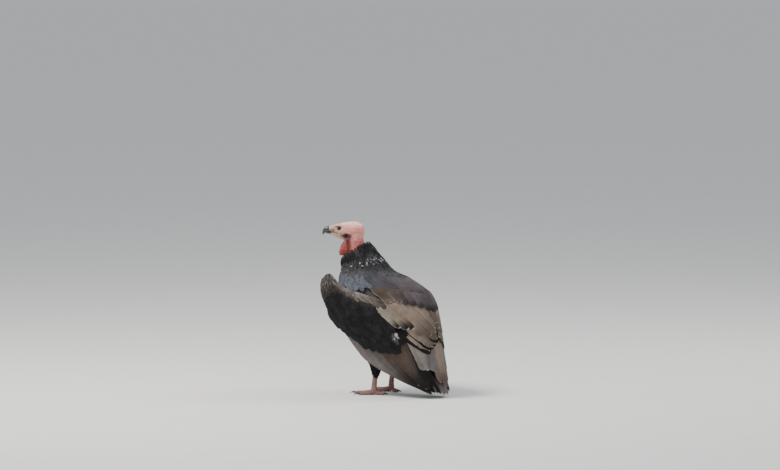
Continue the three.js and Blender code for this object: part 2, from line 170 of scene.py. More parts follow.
def settle(piece):
    mesh = evaluated(piece)
    piece.modifiers.clear()
    piece.data = mesh


def drop(*pieces):
    for piece in pieces:
        bpy.data.objects.remove(piece)


def numbersOf(items, field, each=1, kind=float):
    flat = np.empty(len(items) * each, kind)
    items.foreach_get(field, flat)
    return flat.reshape(-1, each) if each > 1 else flat


def verts(mesh):
    return numbersOf(mesh.vertices, "co", 3)


def normals(mesh):
    return numbersOf(mesh.vertex_normals, "vector", 3)


def inMillimetres(mesh):
    return verts(mesh) / mm + boxMiddle


def setVerts(mesh, points):
    mesh.vertices.foreach_set("co", np.asarray(points, float).ravel())
    mesh.update()


attributeFields = {
    "FLOAT": "value",
    "BOOLEAN": "value",
    "FLOAT2": "vector",
    "FLOAT_VECTOR": "vector",
    "FLOAT_COLOR": "color",
}


def setAttribute(mesh, name, kind, values, domain="POINT"):
    attribute = mesh.attributes.get(name) or mesh.attributes.new(name, kind, domain)
    attribute.data.foreach_set(attributeFields[kind], np.asarray(values).ravel())


def sharpRim(mesh, ring, rims):
    # The two rims of a vane stay sharp under smooth shading
    ends = numbersOf(mesh.edges, "vertices", 2, int) % ring
    setAttribute(mesh, "sharp_edge", "BOOLEAN", np.isin(ends, rims).all(axis=1), "EDGE")


def rgba(colour, alpha=1.0):
    return (*colour, alpha)


# Materials

def newMaterial(name, roughness):
    material = bpy.data.materials.new(name)
    material.use_nodes = True
    shader = material.node_tree.nodes["Principled BSDF"]
    shader.inputs["Roughness"].default_value = roughness
    return material, shader


def addNode(owner, kind, inputs=None, **settings):
    # The owner is a material or a tree of geometry nodes, and inputs are values or other nodes' outputs
    tree = getattr(owner, "node_tree", owner)
    node = tree.nodes.new(kind)
    for name, value in settings.items():
        setattr(node, name, value)
    for socket, value in (inputs or {}).items():
        if isinstance(value, bpy.types.NodeSocket):
            tree.links.new(value, node.inputs[socket])
        else:
            node.inputs[socket].default_value = value
    return node


def sums(owner, operation, *values):
    return addNode(owner, "ShaderNodeMath", dict(enumerate(values)), operation=operation).outputs[0]


def plus(owner, *values):
    return sums(owner, "ADD", *values)


def minus(owner, *values):
    return sums(owner, "SUBTRACT", *values)


def times(owner, *values):
    return sums(owner, "MULTIPLY", *values)


def combined(owner, x=0.0, y=0.0, z=0.0):
    return addNode(owner, "ShaderNodeCombineXYZ", {0: x, 1: y, 2: z}).outputs[0]


def fade(material, value, low, high, atLow=0.0, atHigh=1.0):
    inputs = {"Value": value, "From Min": low, "From Max": high, "To Min": atLow, "To Max": atHigh}
    node = addNode(material, "ShaderNodeMapRange", inputs, interpolation_type="SMOOTHSTEP")
    return node.outputs["Result"]


def blendColour(material, share, first, second, way="MIX"):
    inputs = {0: share, 6: first, 7: second}
    return addNode(material, "ShaderNodeMix", inputs, data_type="RGBA", blend_type=way).outputs[2]


def toned(material, colour, red, green, blue):
    share = addNode(material, "ShaderNodeCombineColor", {0: red, 1: green, 2: blue}).outputs[0]
    return blendColour(material, 1.0, colour, share, "MULTIPLY")


def noiseAt(material, place, scale, detail=3.0):
    inputs = {"Vector": place, "Scale": scale, "Detail": detail, "Roughness": 0.55}
    return addNode(material, "ShaderNodeTexNoise", inputs).outputs["Fac"]


def cellsAt(material, place, scale):
    inputs = {"Vector": place, "Scale": scale}
    return addNode(material, "ShaderNodeTexVoronoi", inputs, feature="DISTANCE_TO_EDGE").outputs["Distance"]


def attributeOf(material, name):
    return addNode(material, "ShaderNodeAttribute", attribute_name=name).outputs


def objectPlace(material):
    return addNode(material, "ShaderNodeTexCoord").outputs["Object"]


def link(material, value, socket):
    material.node_tree.links.new(value, socket)


def bumpInto(material, shader, height, distance, strength):
    inputs = {"Height": height, "Distance": distance, "Strength": strength}
    link(material, addNode(material, "ShaderNodeBump", inputs).outputs[0], shader.inputs["Normal"])


plumageLooks = {  # barbs along a vane, tone of the shaft, height of the relief in metres
    "soft_plumage": {"barbs": 70.0, "roughness": 0.66, "shaft": 1.06, "relief": 0.00025},
    "flight_plumage": {"barbs": 110.0, "roughness": 0.58, "shaft": 0.72, "relief": 0.0005},
    "glossy_plumage": {"barbs": 70.0, "roughness": 0.46, "shaft": 0.8, "relief": 0.0004},
}
plumageTones = {"slant": 0.12, "cloud": (0.82, 1.12), "streak": 0.34, "feather": 0.44, "barb": 0.03}


def plumageMaterial(name):
    # Barbs slant away from the shaft; colours come from each feather's own attributes
    look = plumageLooks[name]
    material, shader = newMaterial(name, look["roughness"])
    vane = addNode(material, "ShaderNodeUVMap", uv_map="vane").outputs[0]
    across, along, _ = addNode(material, "ShaderNodeSeparateXYZ", {0: vane}).outputs
    off = times(material, sums(material, "ABSOLUTE", minus(material, across, 0.5)), 2.0)
    lean = times(material, off, look["barbs"] * plumageTones["slant"])
    slant = minus(material, times(material, along, look["barbs"]), lean)
    barb = sums(material, "SINE", times(material, slant, 2 * math.pi))
    cloudy = noiseAt(material, objectPlace(material), 28.0)
    streaky = noiseAt(material, combined(material, times(material, off, 1.5), slant), 0.55)
    plume, fringe, tip = (attributeOf(material, field) for field in ("plume", "fringe", "tip"))
    phase = attributeOf(material, "phase")["Fac"]
    # The tip's colour comes in raggedly, and the fringe runs round the sides and the end
    towardsTip = plus(material, along, times(material, streaky, 0.12))
    tipShare = times(material, fade(material, towardsTip, 0.62, 0.98), tip["Alpha"])
    colour = blendColour(material, tipShare, plume["Color"], tip["Color"])
    outermost = sums(material, "MAXIMUM", off, minus(material, times(material, along, 2.0), 1.0))
    nearEdge = fade(material, outermost, minus(material, 1.0, times(material, fringe["Alpha"], 0.5)), 1.02)
    edgeShare = times(material, nearEdge, sums(material, "GREATER_THAN", fringe["Alpha"], 0.01))
    colour = blendColour(material, edgeShare, colour, fringe["Color"])
    tone = fade(material, cloudy, 0.3, 0.7, *plumageTones["cloud"])
    for value, spread in ((streaky, "streak"), (phase, "feather")):
        tone = plus(material, tone, times(material, minus(material, value, 0.5), plumageTones[spread]))
    tone = plus(material, tone, times(material, barb, plumageTones["barb"]))
    tone = times(material, tone, fade(material, off, 0.03, 0.1, look["shaft"], 1.0))
    link(material, toned(material, colour, tone, tone, tone), shader.inputs["Base Color"])
    height = plus(material, times(material, barb, 0.35), streaky)
    bumpInto(material, shader, height, look["relief"], 0.6)
    shader.inputs["Specular IOR Level"].default_value = 0.12
    return material


# Camera, floor and light

view = {
    "azimuth": 32.0,  # degrees from +X to +Y
    "elevation": 5.5,
    "distance": 20.0,
    "mmPerPixel": 3.6,
    "imageWidth": 780,
    "imageMiddle": (390, 235),
    "feetAt": (384, 393.2),  # where the point between the feet shows
    "sensor": 36.0,
}


def addCamera():
    turn, rise = math.radians(view["azimuth"]), math.radians(view["elevation"])
    towards = Vector((math.cos(turn) * math.cos(rise), math.sin(turn) * math.cos(rise), math.sin(rise)))
    right = Vector((-math.sin(turn), math.cos(turn), 0))
    up = towards.cross(right)
    scale = view["mmPerPixel"] * mm
    aside = (view["imageMiddle"][0] - view["feetAt"][0]) * scale
    above = (view["feetAt"][1] - view["imageMiddle"][1]) * scale
    aim = Vector(-boxMiddle * mm) + right * aside + up * above
    camera = bpy.data.cameras.new("camera")
    camera.sensor_width = view["sensor"]
    camera.lens = view["sensor"] * view["distance"] / (view["imageWidth"] * scale)
    camera.clip_end = 100
    holder = addObject("camera", camera)
    holder.location = aim + towards * view["distance"]
    holder.rotation_euler = (-towards).to_track_quat("-Z", "Y").to_euler()
    bpy.context.scene.camera = holder


studio = {
    "lamps": {  # place, size, power, colour
        "key": ((1.5, -1.3, 3.5), 1.3, 185, (1.0, 0.97, 0.93)),
        "fill": ((2.8, 2.6, 1.6), 2.4, 26, (0.93, 0.96, 1.0)),
        "back": ((-2.2, 1.9, 2.8), 1.6, 60, (1.0, 0.98, 0.95)),
    },
    "aim": (0, 0, 0.3),
    "sky": ((0.86, 0.9, 0.95, 1), 0.68),
    "floor": ((0.74, 0.73, 0.71, 1), (0.79, 0.78, 0.76, 1)),
    "floorReach": 40,
}


def addStudio():
    for name, (place, size, power, colour) in studio["lamps"].items():
        lamp = bpy.data.lights.new(name, "AREA")
        lamp.size, lamp.energy, lamp.color = size, power, colour
        holder = addObject(name, lamp)
        holder.location = place
        towards = Vector(studio["aim"]) - Vector(place)
        holder.rotation_euler = towards.to_track_quat("-Z", "Y").to_euler()
    world = bpy.data.worlds.new("studio")
    world.use_nodes = True
    sky = world.node_tree.nodes["Background"]
    sky.inputs["Color"].default_value, sky.inputs["Strength"].default_value = studio["sky"]
    bpy.context.scene.world = world
    corners = np.array([(-1, -1, 0), (1, -1, 0), (1, 1, 0), (-1, 1, 0)]) * studio["floorReach"]
    mesh = meshFrom("floor", corners, [(0, 1, 2, 3)], closed=False)
    material, shader = newMaterial("floor_paint", 0.8)
    speckle = noiseAt(material, objectPlace(material), 9.0)
    link(material, blendColour(material, speckle, *studio["floor"]), shader.inputs["Base Color"])
    mesh.materials.append(material)
    addObject("floor", mesh)


addCamera()
addStudio()
print("camera, floor and light are set")


# The body's forms, as the solids have them

bodyRows = [  # station, back point (y, z), breast point (y, z), half width
    [0, -40, 480, -130, 440, 44],
    [1, -12, 470, -155, 412, 67],
    [2, 24, 446, -165, 374, 88],
    [3, 62, 424, -163, 330, 103],
    [4, 101, 402, -144, 288, 110],
    [5, 140, 370, -109, 249, 110],
    [6, 166, 330, -64, 214, 101],
    [7, 181, 290, -12, 188, 86],
    [8, 191, 248, 38, 168, 66],
    [9, 198, 210, 90, 156, 44],
    [10, 203, 180, 140, 146, 26],
]
ruffRows = [
    [0, 14, 448, -152, 398, 80],
    [1, 6, 462, -157, 418, 80],
    [2, -11, 482, -164, 441, 77],
    [3, -35, 506, -172, 463, 68],
    [4, -49, 527, -170, 480, 58],
    [5, -62, 538, -160, 487, 49],
    [6, -70, 531, -152, 480, 42],
    [7, -77, 514, -147, 466, 37],
]
neckRows = [  # height, middle (x, y), half width, half depth
    [440, 0, -84, 38, 40],
    [472, 0, -96, 36, 37],
    [500, 0, -108, 32, 33],
    [525, 0, -117, 30, 31],
    [550, 1, -122, 30, 31.5],
    [576, 2, -124, 28, 30],
    [594, 3, -125, 20, 22],
]
ringFullness = 2.2


def bodyGrid(rows, low, high, count, around, grow):
    # The turn is 0 along the back and half a turn along the breast; the left side comes first
    turn = np.tile(circle(around), count)
    stations = np.repeat(np.linspace(low, high, count), around)
    backY, backZ, frontY, frontZ, half = through(rows)(stations).T
    c, s = np.cos(turn), np.sin(turn)
    full = (np.abs(c) ** ringFullness + np.abs(s) ** ringFullness) ** (-1 / ringFullness)
    depth = np.hypot(backY - frontY, backZ - frontZ) / 2
    reach = (depth + grow) / depth * c * full
    y = (backY + frontY) / 2 + (backY - frontY) / 2 * reach
    z = (backZ + frontZ) / 2 + (backZ - frontZ) / 2 * reach
    return np.column_stack([(half + grow) * s * full, y, z]).reshape(count, around, 3)


headTurn = math.radians(32)
eyeAt = {"forward": 57, "out": 13.2, "height": 592, "radius": 8.4}
lookAhead = np.array([math.sin(headTurn), -math.cos(headTurn), 0])
lookLeft = np.array([math.cos(headTurn), math.sin(headTurn), 0])
neckMiddle = np.array([0, -123, 0])


def headPoint(forward, left, rise):
    forward, left, rise = np.broadcast_arrays(forward, left, rise)
    place = neckMiddle + forward[..., None] * lookAhead + left[..., None] * lookLeft
    place[..., 2] = eyeAt["height"] + rise
    return place


def headPlace(points):
    # The way back: forward, left and rise from the eye of places in the bird's own millimetres
    fromNeck = points - neckMiddle
    return fromNeck @ lookAhead, fromNeck @ lookLeft, points[..., 2] - eyeAt["height"]


def awayFrom(place, middle, reach):
    # Squared distances in shares of a form's reach. Both sides of the head are alike
    forward, left, rise = place
    return sum(((v - m) / r) ** 2 for v, m, r in zip((forward, np.abs(left), rise), middle, reach))


headRows = [  # forward, top and underside from the eye, half width
    [-34, -4, -16, 5],
    [-30, 8, -30, 16],
    [-20, 16, -40, 25],
    [-7, 21.5, -45, 29.5],
    [8, 23, -47, 31],
    [24, 22, -46, 29.5],
    [39, 19.5, -44, 26],
    [54, 16, -39, 22],
    [68, 13, -33, 18],
    [76, 11, -30, 16],
]
jawRows = [  # forward, middle from the eye, half width, half height
    [48, -27, 14, 9],
    [66, -24.5, 13.4, 8],
    [80, -20.8, 12, 6],
    [88, -19.4, 10.8, 4.8],
]
cereRows = [
    [60, -2, 14.6, 13],
    [70, -2, 15.2, 13.4],
    [78, -2, 14.6, 12.6],
    [86, -3, 13.6, 11.8],
    [92.5, -3.4, 12.4, 10.8],
]
upperBillRows = [  # and how far the ring leans
    [88, -3.4, 11.6, 10.2, 0],
    [92, -3.6, 11.8, 10.6, 0.03],
    [99, -4.4, 10.6, 10.6, 0.1],
    [106, -7.4, 8.8, 9.4, 0.4],
    [111, -12, 6.4, 7, 0.8],
    [114, -18, 3.6, 4, 1.15],
    [115, -22, 1.8, 2.2, 1.35],
    [115.4, -24.4, 0.5, 0.7, 1.5],
]
lowerBillRows = [
    [82, -18.6, 5, 3.4],
    [88, -18, 8, 4.6],
    [98, -16.8, 8.2, 4.6],
    [104, -15.8, 6, 3.6],
    [108, -15, 3, 2],
]
lappetRows = [  # forward, rise, out, half length, half thickness
    [24, -30, 21, 5, 3],
    [26, -36, 24, 7, 3.4],
    [28, -48, 27, 13, 3.6],
    [31, -62, 28, 19, 3.6],
    [36, -78, 26, 22, 3.4],
    [42, -91, 22, 17, 3],
    [46, -99, 19, 8, 2],
]


def headRings(rows, step, around=40, flatSide=0):
    # The flat side is 1 where the top is squarer than the rest, and -1 where the underside is
    table = np.array(rows, float)
    places = np.arange(table[0, 0], table[-1, 0] + step / 2, step)
    shape = through(rows)(places)
    lean = shape[:, 3] if shape.shape[1] > 3 else np.zeros(len(places))
    turn = circle(around)
    c, s = np.cos(turn), np.sin(turn)
    power = np.where(c * flatSide > 0, 3.6, 2.0)
    full = (np.abs(c) ** power + np.abs(s) ** power) ** (-1 / power)
    up = shape[:, 2:3] * c * full
    forward = places[:, None] + up * np.sin(lean)[:, None]
    return headPoint(forward, shape[:, 1:2] * s * full, shape[:, 0:1] + up * np.cos(lean)[:, None])


def skullRings():
    rows = [[f, (top + under) / 2, half, (top - under) / 2] for f, top, under, half in headRows]
    return headRings(rows, 2)


def neckRings():
    heights = np.arange(440, 594, 4)
    x, y, half, deep = through(neckRows)(heights).T
    turn = circle(40)
    across = x[:, None] + half[:, None] * np.sin(turn)
    back = y[:, None] - deep[:, None] * np.cos(turn)
    return np.stack([across, back, np.broadcast_to(heights[:, None], across.shape)], -1)


def lappetRings(side):
    rises = np.linspace(0, len(lappetRows) - 1, 26)
    table = np.array([[k, *row] for k, row in enumerate(lappetRows)], float)
    forward, rise, out, long, thick = through(table)(rises).T
    turn = circle(28)
    flare = np.sin(rises * 1.7)[:, None] * 1.4
    aside = side * (out[:, None] + thick[:, None] * np.sin(turn) + flare)
    ahead = forward[:, None] + long[:, None] * np.cos(turn)
    return headPoint(ahead, aside, rise[:, None])


# Legs and feet

stance = 58
footBack = -5
thighRows = [  # height, out, back, half width, half depth
    [70, 58, 1, 10, 11.5],
    [84, 58, 2, 13.5, 16.5],
    [102, 59, 3, 19, 23],
    [128, 60, 3, 26, 32],
    [160, 62, 1, 32, 42],
    [196, 63, 0, 36, 49],
    [230, 62, 0, 35, 49],
]
shankRows = [
    [14, stance, footBack, 9.6, 10],
    [21.6, stance, footBack, 10.5, 11],
    [30, stance, footBack, 9.4, 10],
    [60, stance, -2, 8.6, 9.2],
    [92, stance, 0, 9.2, 9.8],
    [118, stance, 0, 8, 8],
]
footYaw = 8
toes = [  # turn towards the body's middle, length, half height at root and tip, plates along the top
    {"name": "middle", "turn": 0, "length": 76, "root": 9, "tip": 6, "plates": 15},
    {"name": "inner", "turn": 40, "length": 50, "root": 8.4, "tip": 6, "plates": 10},
    {"name": "outer", "turn": -36, "length": 56, "root": 8, "tip": 5.6, "plates": 12},
    {"name": "hind", "turn": 172, "length": 36, "root": 8, "tip": 5.6, "plates": 7},
]
toeHeight = 8.2


def legRings(rows, side, step, around, grow=0.0, plate=None):
    table = np.array(rows, float)
    heights = np.arange(table[0, 0], table[-1, 0] + 0.1, step)
    x, y, half, deep = through(rows)(heights).T
    turn = circle(around)
    swell = np.zeros((len(heights), around))
    if plate:
        edge = (heights / plate) % 1  # every plate stands out at its lower edge
        swell = 0.75 * (1 - edge)[:, None] * ease(-np.cos(turn), -0.1, 0.5)
    across = side * (x[:, None] + (half[:, None] + grow + swell) * np.sin(turn))
    back = y[:, None] + (deep[:, None] + grow + swell) * np.cos(turn)
    return np.stack([across, back, np.broadcast_to(heights[:, None], across.shape)], -1)


def footPoint(side, turn, ahead, aside, height):
    angle = math.radians(footYaw - turn)
    across = stance + ahead * math.sin(angle) + aside * math.cos(angle)
    back = footBack - ahead * math.cos(angle) + aside * math.sin(angle)
    ahead, aside, height = np.broadcast_arrays(ahead, aside, height)
    return np.stack([side * (across + 0 * height), back + 0 * height, height], -1)


def toeRings(side, toe):
    rows = [
        [0, 13, toe["root"], toeHeight],
        [0.25, 9.5, toe["root"] * 0.94, toeHeight * 0.98],
        [0.5, 6.6, toe["root"] * 0.86, toeHeight * 0.86],
        [0.75, 5.8, toe["tip"] * 1.1, 6.6],
        [1, 5, toe["tip"] * 0.8, 5.2],
    ]
    t = np.linspace(0, 1, 6 * toe["plates"] + 1)
    height, half, tall = through(rows)(t).T
    blunt = np.sqrt(np.clip(1 - ease(t, 0.93, 1.02) ** 2, 0.25, 1))
    knuckles = 1 + 0.06 * np.cos(t * 4 * math.pi)
    turn = circle(24, 0.5)
    lower = (t * toe["plates"] % 1 * ease(t, 0.12, 0.3))[:, None]  # edge of every plate
    plate = 0.7 * lower * ease(np.cos(turn), 0.1, 0.6)
    pad = 0.5 * np.abs(np.sin(t * 5 * math.pi))[:, None] * ease(-np.cos(turn), 0.0, 0.7)
    aside = (half * blunt * knuckles)[:, None] * np.sin(turn) + (plate + pad) * np.sin(turn)
    above = height[:, None] + (tall * blunt)[:, None] * np.cos(turn) + plate * np.cos(turn)
    return footPoint(side, toe["turn"], (t * toe["length"])[:, None], aside, np.maximum(above, 0))


# The folded wing's outer face: height, then (x, y) from the middle of the back to the front edge
wingRows = [
    [-10, 0, 286, 25, 280, 38, 270, 46, 262, 52, 256, 56, 252, 58, 250],
    [10, 0, 280, 28, 273, 44, 262, 52, 254, 57, 248, 60, 245, 61, 243],
    [50, 0, 267, 34, 261, 58, 239, 74, 217, 84, 194, 88, 176, 90, 162],
    [90, 0, 256, 38, 250, 65, 226, 86, 190, 98, 152, 103, 115, 105, 80],
    [130, 0, 246, 41, 239, 71, 213, 95, 172, 108, 122, 113, 62, 113, -3],
    [170, 0, 237, 44, 229, 77, 202, 103, 157, 116, 100, 120, 35, 118, -41],
    [210, 0, 229, 46, 219, 81, 191, 108, 142, 123, 78, 127, 5, 122, -77],
    [250, 0, 221, 46, 210, 82, 180, 112, 127, 128, 55, 132, -25, 126, -110],
    [290, 0, 213, 46, 202, 82, 169, 112, 112, 129, 35, 135, -50, 128, -149],
    [330, 0, 200, 46, 187, 82, 152, 110, 96, 127, 15, 135, -75, 130, -168],
    [370, 0, 174, 44, 159, 82, 120, 108, 64, 124, -12, 133, -95, 131, -180],
    [410, 0, 108, 40, 90, 74, 54, 102, 8, 119, -52, 129, -112, 130, -180],
    [450, 0, 14, 34, 6, 62, -14, 88, -48, 108, -88, 120, -122, 127, -158],
    [490, 0, -18, 28, -26, 52, -44, 75, -72, 95, -100, 110, -124, 122, -144],
]
# The mantle leaves that face at the shoulders and closes in on the ruff
mantleRows = wingRows[:12] + [
    [440, 0, 34, 34, 24, 63, 0, 89, -37, 106, -80, 113, -116, 116, -140],
    [465, 0, 6, 28, -2, 54, -22, 76, -56, 90, -90, 92, -120, 88, -145],
    [490, 0, -20, 24, -25, 46, -40, 63, -66, 73, -94, 74, -120, 70, -142],
    [512, 0, -38, 20, -42, 38, -54, 52, -76, 60, -98, 61, -118, 58, -138],
]


def foldedSheet(rows):
    shape = through(rows)

    def sheet(across, height):
        across, height = np.ravel(across), np.ravel(height)
        points = shape(height).reshape(-1, 7, 2)
        mirrored = points[:, 1:2] * np.array([-1, 1])
        columns = np.concatenate([mirrored, points], axis=1)
        place = smoothThrough(np.arange(-1, 7), columns, np.abs(across) * 6)
        place = np.where(across[:, None] < 0, place * np.array([-1, 1]), place)
        return np.column_stack([place, height])
    return sheet


wingFace = foldedSheet(wingRows)
mantleFace = foldedSheet(mantleRows)
leadingEdge = through([  # share along the arm, then place across the wing and height
    [0, 0.99, 434],
    [0.06, 1.02, 412],
    [0.2, 1.02, 350],
    [0.35, 1.0, 285],
    [0.5, 0.97, 242],
    [0.65, 0.92, 215],
    [0.8, 0.82, 188],
    [0.92, 0.7, 168],
    [1, 0.62, 160],
])
upperEdge = through([
    [0, 0.94, 437],
    [0.06, 0.88, 424],
    [0.2, 0.8, 392],
    [0.35, 0.68, 362],
    [0.5, 0.61, 340],
    [0.65, 0.55, 300],
    [0.8, 0.52, 250],
    [0.92, 0.53, 200],
    [1, 0.57, 165],
])


arm = {
    "deep": (34, 3.4),  # at the wrist and out along the hand
    "thins": (0.12, 0.62),
    "rounding": 0.2,  # share of the width that the rounded leading edge takes
    "rimDeep": 3.2,
    "rise": 1.4,
}


def armRings(side, grow, rings=56, outerPoints=22, innerPoints=12):
    # Wrist, forearm and hand. Each ring runs from the leading edge over the outer face and back inside
    along = np.linspace(0, 1, rings)
    outer = np.linspace(0, 1, outerPoints) ** 1.6
    inner = np.linspace(1, 0, innerPoints + 2)[1:-1]
    across = np.concatenate([outer, inner])
    isOuter = np.arange(len(across)) < outerPoints
    front, rear = leadingEdge(along), upperEdge(along)
    a = mix(front[:, :1], rear[:, :1], across)
    z = mix(front[:, 1:], rear[:, 1:], across)
    place, alongA, _, out = surfaceFrame(wingFace, a.ravel(), z.ravel())
    full = mix(*arm["deep"], ease(along, *arm["thins"])) * mix(0.35, 1, ease(along, -0.02, 0.1))
    full = full[:, None]
    rounded = np.sqrt(np.minimum(across / arm["rounding"], 1))
    deep = mix(mix(full * 0.45, full, rounded), arm["rimDeep"], ease(across, arm["rounding"], 1))
    top = mix(-full * 0.3, arm["rise"], rounded)
    level = np.where(isOuter, top + grow, -deep - grow)
    points = place + out * level.reshape(-1, 1)
    ends = (across == 0) * 1.0 - (across == 1) * 1.0
    points += unit(alongA) * np.broadcast_to(ends * grow, a.shape).reshape(-1, 1)
    points = points.reshape(rings, len(across), 3)
    points[..., 0] *= side
    return points


# Skin: one surface from the bill to the toes, a little way inside the plumage

skin = {
    "voxel": 1.15,
    "softening": 7,  # rounds before the folds are pressed in, and after
    "lastSoftening": 2,
    "folds": {"scale": 11.0, "stretch": (0.35, 0.35, 1.7), "deep": 1.1},  # round the nape
    "pleats": {"scale": 8.5, "stretch": (1.3, 1.3, 0.3), "deep": 1.2},  # down the neck
    "fine": {"scale": 4.0, "stretch": (1, 1, 1.3), "deep": (0.15, 0.45)},  # on the face, on the neck
    "creaseWidth": 0.16,
    "trunkDeep": 7,
    "ruffDeep": 11,
    "thighDeep": 5,
    "legPlate": 4.2,
}
headForms = [  # forward, out, rise, then reach each way, and how far the skin moves out
    ((57, 22, -1), (11, 8, 8), -1.6),  # socket
    ((57, 19, 9.5), (15, 6, 3.6), 3.0),  # brow
    ((72, 14, 0), (7, 6, 7), -1.2),  # in front of the eye
    ((46, 23, -14), (13, 8, 9), 1.6),  # cheek
    ((31, 30, -28), (12, 10, 12), 2.4),  # rim of the ear
    ((31, 30, -28), (7, 9, 7), -7.0),  # ear
    ((40, 26, -33), (5, 8, 9), -1.8),  # fold from the ear to the lappet
    ((25, 28, -52), (3.4, 9, 20), -3.2),  # between the lappet and the neck
    ((77, 13, -6), (2.2, 6, 4.5), -3.2),  # nostril
    ((77, 13, -6), (6, 6, 8), 0.9),
]
mouthLine = [(81, -14.2), (76, -14.6), (71, -15.6), (66, -17.2), (62, -19.2)]  # forward, rise
headForms += [((forward, 14, rise), (4.2, 12, 1.3), -1.5) for forward, rise in mouthLine]


def creases(points, scale, stretch=(1, 1, 1), shift=0):
    return np.array([noise.noise(Vector((p + shift) * stretch) / scale) for p in points])


def pressedIn(points, crease, shift=0):
    # 1 along the lines of a crease pattern, and 0 between them
    pattern = creases(points, crease["scale"], crease["stretch"], shift)
    return crease["deep"] * np.exp(-((pattern / skin["creaseWidth"]) ** 2))


def shapeHead(mesh):
    points = inMillimetres(mesh)
    out = normals(mesh)
    place = headPlace(points)
    forward, _, rise = place
    moved = np.zeros(len(points))
    for middle, reach, depth in headForms:
        moved += depth * np.exp(-awayFrom(place, middle, reach))
    loose = np.clip(ease(-forward, -48, -20) + ease(-rise, 30, 46), 0, 1)
    moved -= loose * pressedIn(points, skin["folds"])
    moved -= ease(-rise, 26, 60) * pressedIn(points, skin["pleats"], 40)
    fine = skin["fine"]
    moved += creases(points, fine["scale"], fine["stretch"], 90) * mix(*fine["deep"], loose)
    moved *= 1 - ease(forward, 84, 90)
    setVerts(mesh, verts(mesh) + out * (moved * mm)[:, None])


lids = {
    "opening": (44, 51),  # degrees from the middle of the eye: up and down, and to the sides
    "droop": 5,
    "spread": 0.17,
    "thick": 0.9,
    "proud": 0.25,
    "roll": 0.3,
}


def lidRings(side):
    # A ring of skin round the opening of the eye, which is wider than it is tall
    turn = circle(48)
    tall, wide = (math.radians(angle) for angle in lids["opening"])
    gap = mix(tall, wide, np.cos(turn) ** 2)
    gap = gap - math.radians(lids["droop"]) * np.maximum(np.sin(turn), 0)
    around = circle(16)
    spread = gap[:, None] + lids["spread"] * np.cos(around)
    level = eyeAt["radius"] + lids["thick"] * np.sin(around) + lids["proud"] + lids["roll"] * np.cos(around)
    forward = eyeAt["forward"] + level * np.sin(spread) * np.cos(turn)[:, None]
    rise = level * np.sin(spread) * np.sin(turn)[:, None]
    out = eyeAt["out"] + level * np.cos(spread)
    return headPoint(forward, side * out, rise)


shoulders = {"across": 0.8, "deep": 8.0, "thick": 3.0, "top": (492, 20), "bottom": (346, 14)}


def shoulderRings():
    # The skin of the shoulders, which closes the way in under the mantle's sides
    across = np.linspace(-shoulders["across"], shoulders["across"], 50)
    (top, falls), (bottom, rises) = shoulders["top"], shoulders["bottom"]
    top = top - falls * ease(np.abs(across), 0.3, 0.8)
    bottom = bottom + rises * ease(np.abs(across), 0.1, 0.8)
    rings = []
    for share in np.linspace(0, 1, 30):
        place, _, _, out = surfaceFrame(mantleFace, across, mix(top, bottom, share))
        outer = place - out * shoulders["deep"]
        inner = outer - out * shoulders["thick"]
        rings.append(np.concatenate([outer, inner[::-1]]))
    return np.array(rings)


def joined(name, pieces):
    bpy.ops.object.select_all(action="DESELECT")
    for piece in pieces:
        piece.select_set(True)
    bpy.context.view_layer.objects.active = pieces[0]
    bpy.ops.object.join()
    pieces[0].name = name
    return pieces[0]


def unite(base, tools):
    for tool in tools:
        cut = base.modifiers.new("join", "BOOLEAN")
        cut.operation, cut.solver, cut.object = "UNION", "MANIFOLD", tool
    settle(base)
    drop(*tools)


def soften(piece, rounds):
    smooth = piece.modifiers.new("soften", "SMOOTH")
    smooth.factor, smooth.iterations = 0.5, rounds
    settle(piece)


def makeSkin():
    parts = [tubeObject("skull", skullRings()), tubeObject("neck_skin", neckRings())]
    parts += [tubeObject("jaw", headRings(jawRows, 2)), tubeObject("cere_skin", headRings(cereRows, 1.5))]
    parts += [tubeObject("lappet", lappetRings(side)) for side in sideSigns.values()]
    head = joined("skin", parts)
    remesh = head.modifiers.new("one skin", "REMESH")
    remesh.mode, remesh.voxel_size, remesh.use_smooth_shade = "VOXEL", skin["voxel"] * mm, True
    soften(head, skin["softening"])
    shapeHead(head.data)
    soften(head, skin["lastSoftening"])
    tools = [ringObject("lid", lidRings(side)) for side in sideSigns.values()]
    tools.append(tubeObject("trunk_skin", bodyGrid(bodyRows, 0, 10, 61, 40, -skin["trunkDeep"])))
    tools.append(tubeObject("ruff_skin", bodyGrid(ruffRows, 0, 5, 31, 40, -skin["ruffDeep"])))
    tools.append(tubeObject("shoulder_skin", shoulderRings()))
    for side in sideSigns.values():
        tools.append(tubeObject("thigh_skin", legRings(thighRows, side, 4, 28, -skin["thighDeep"])))
        tools.append(tubeObject("shank_skin", legRings(shankRows, side, 0.7, 30, plate=skin["legPlate"])))
        tools += [tubeObject("toe_skin", toeRings(side, toe)) for toe in toes]
        tools.append(tubeObject("arm_skin", armRings(side, -1.0)))
    unite(head, tools)
    return head


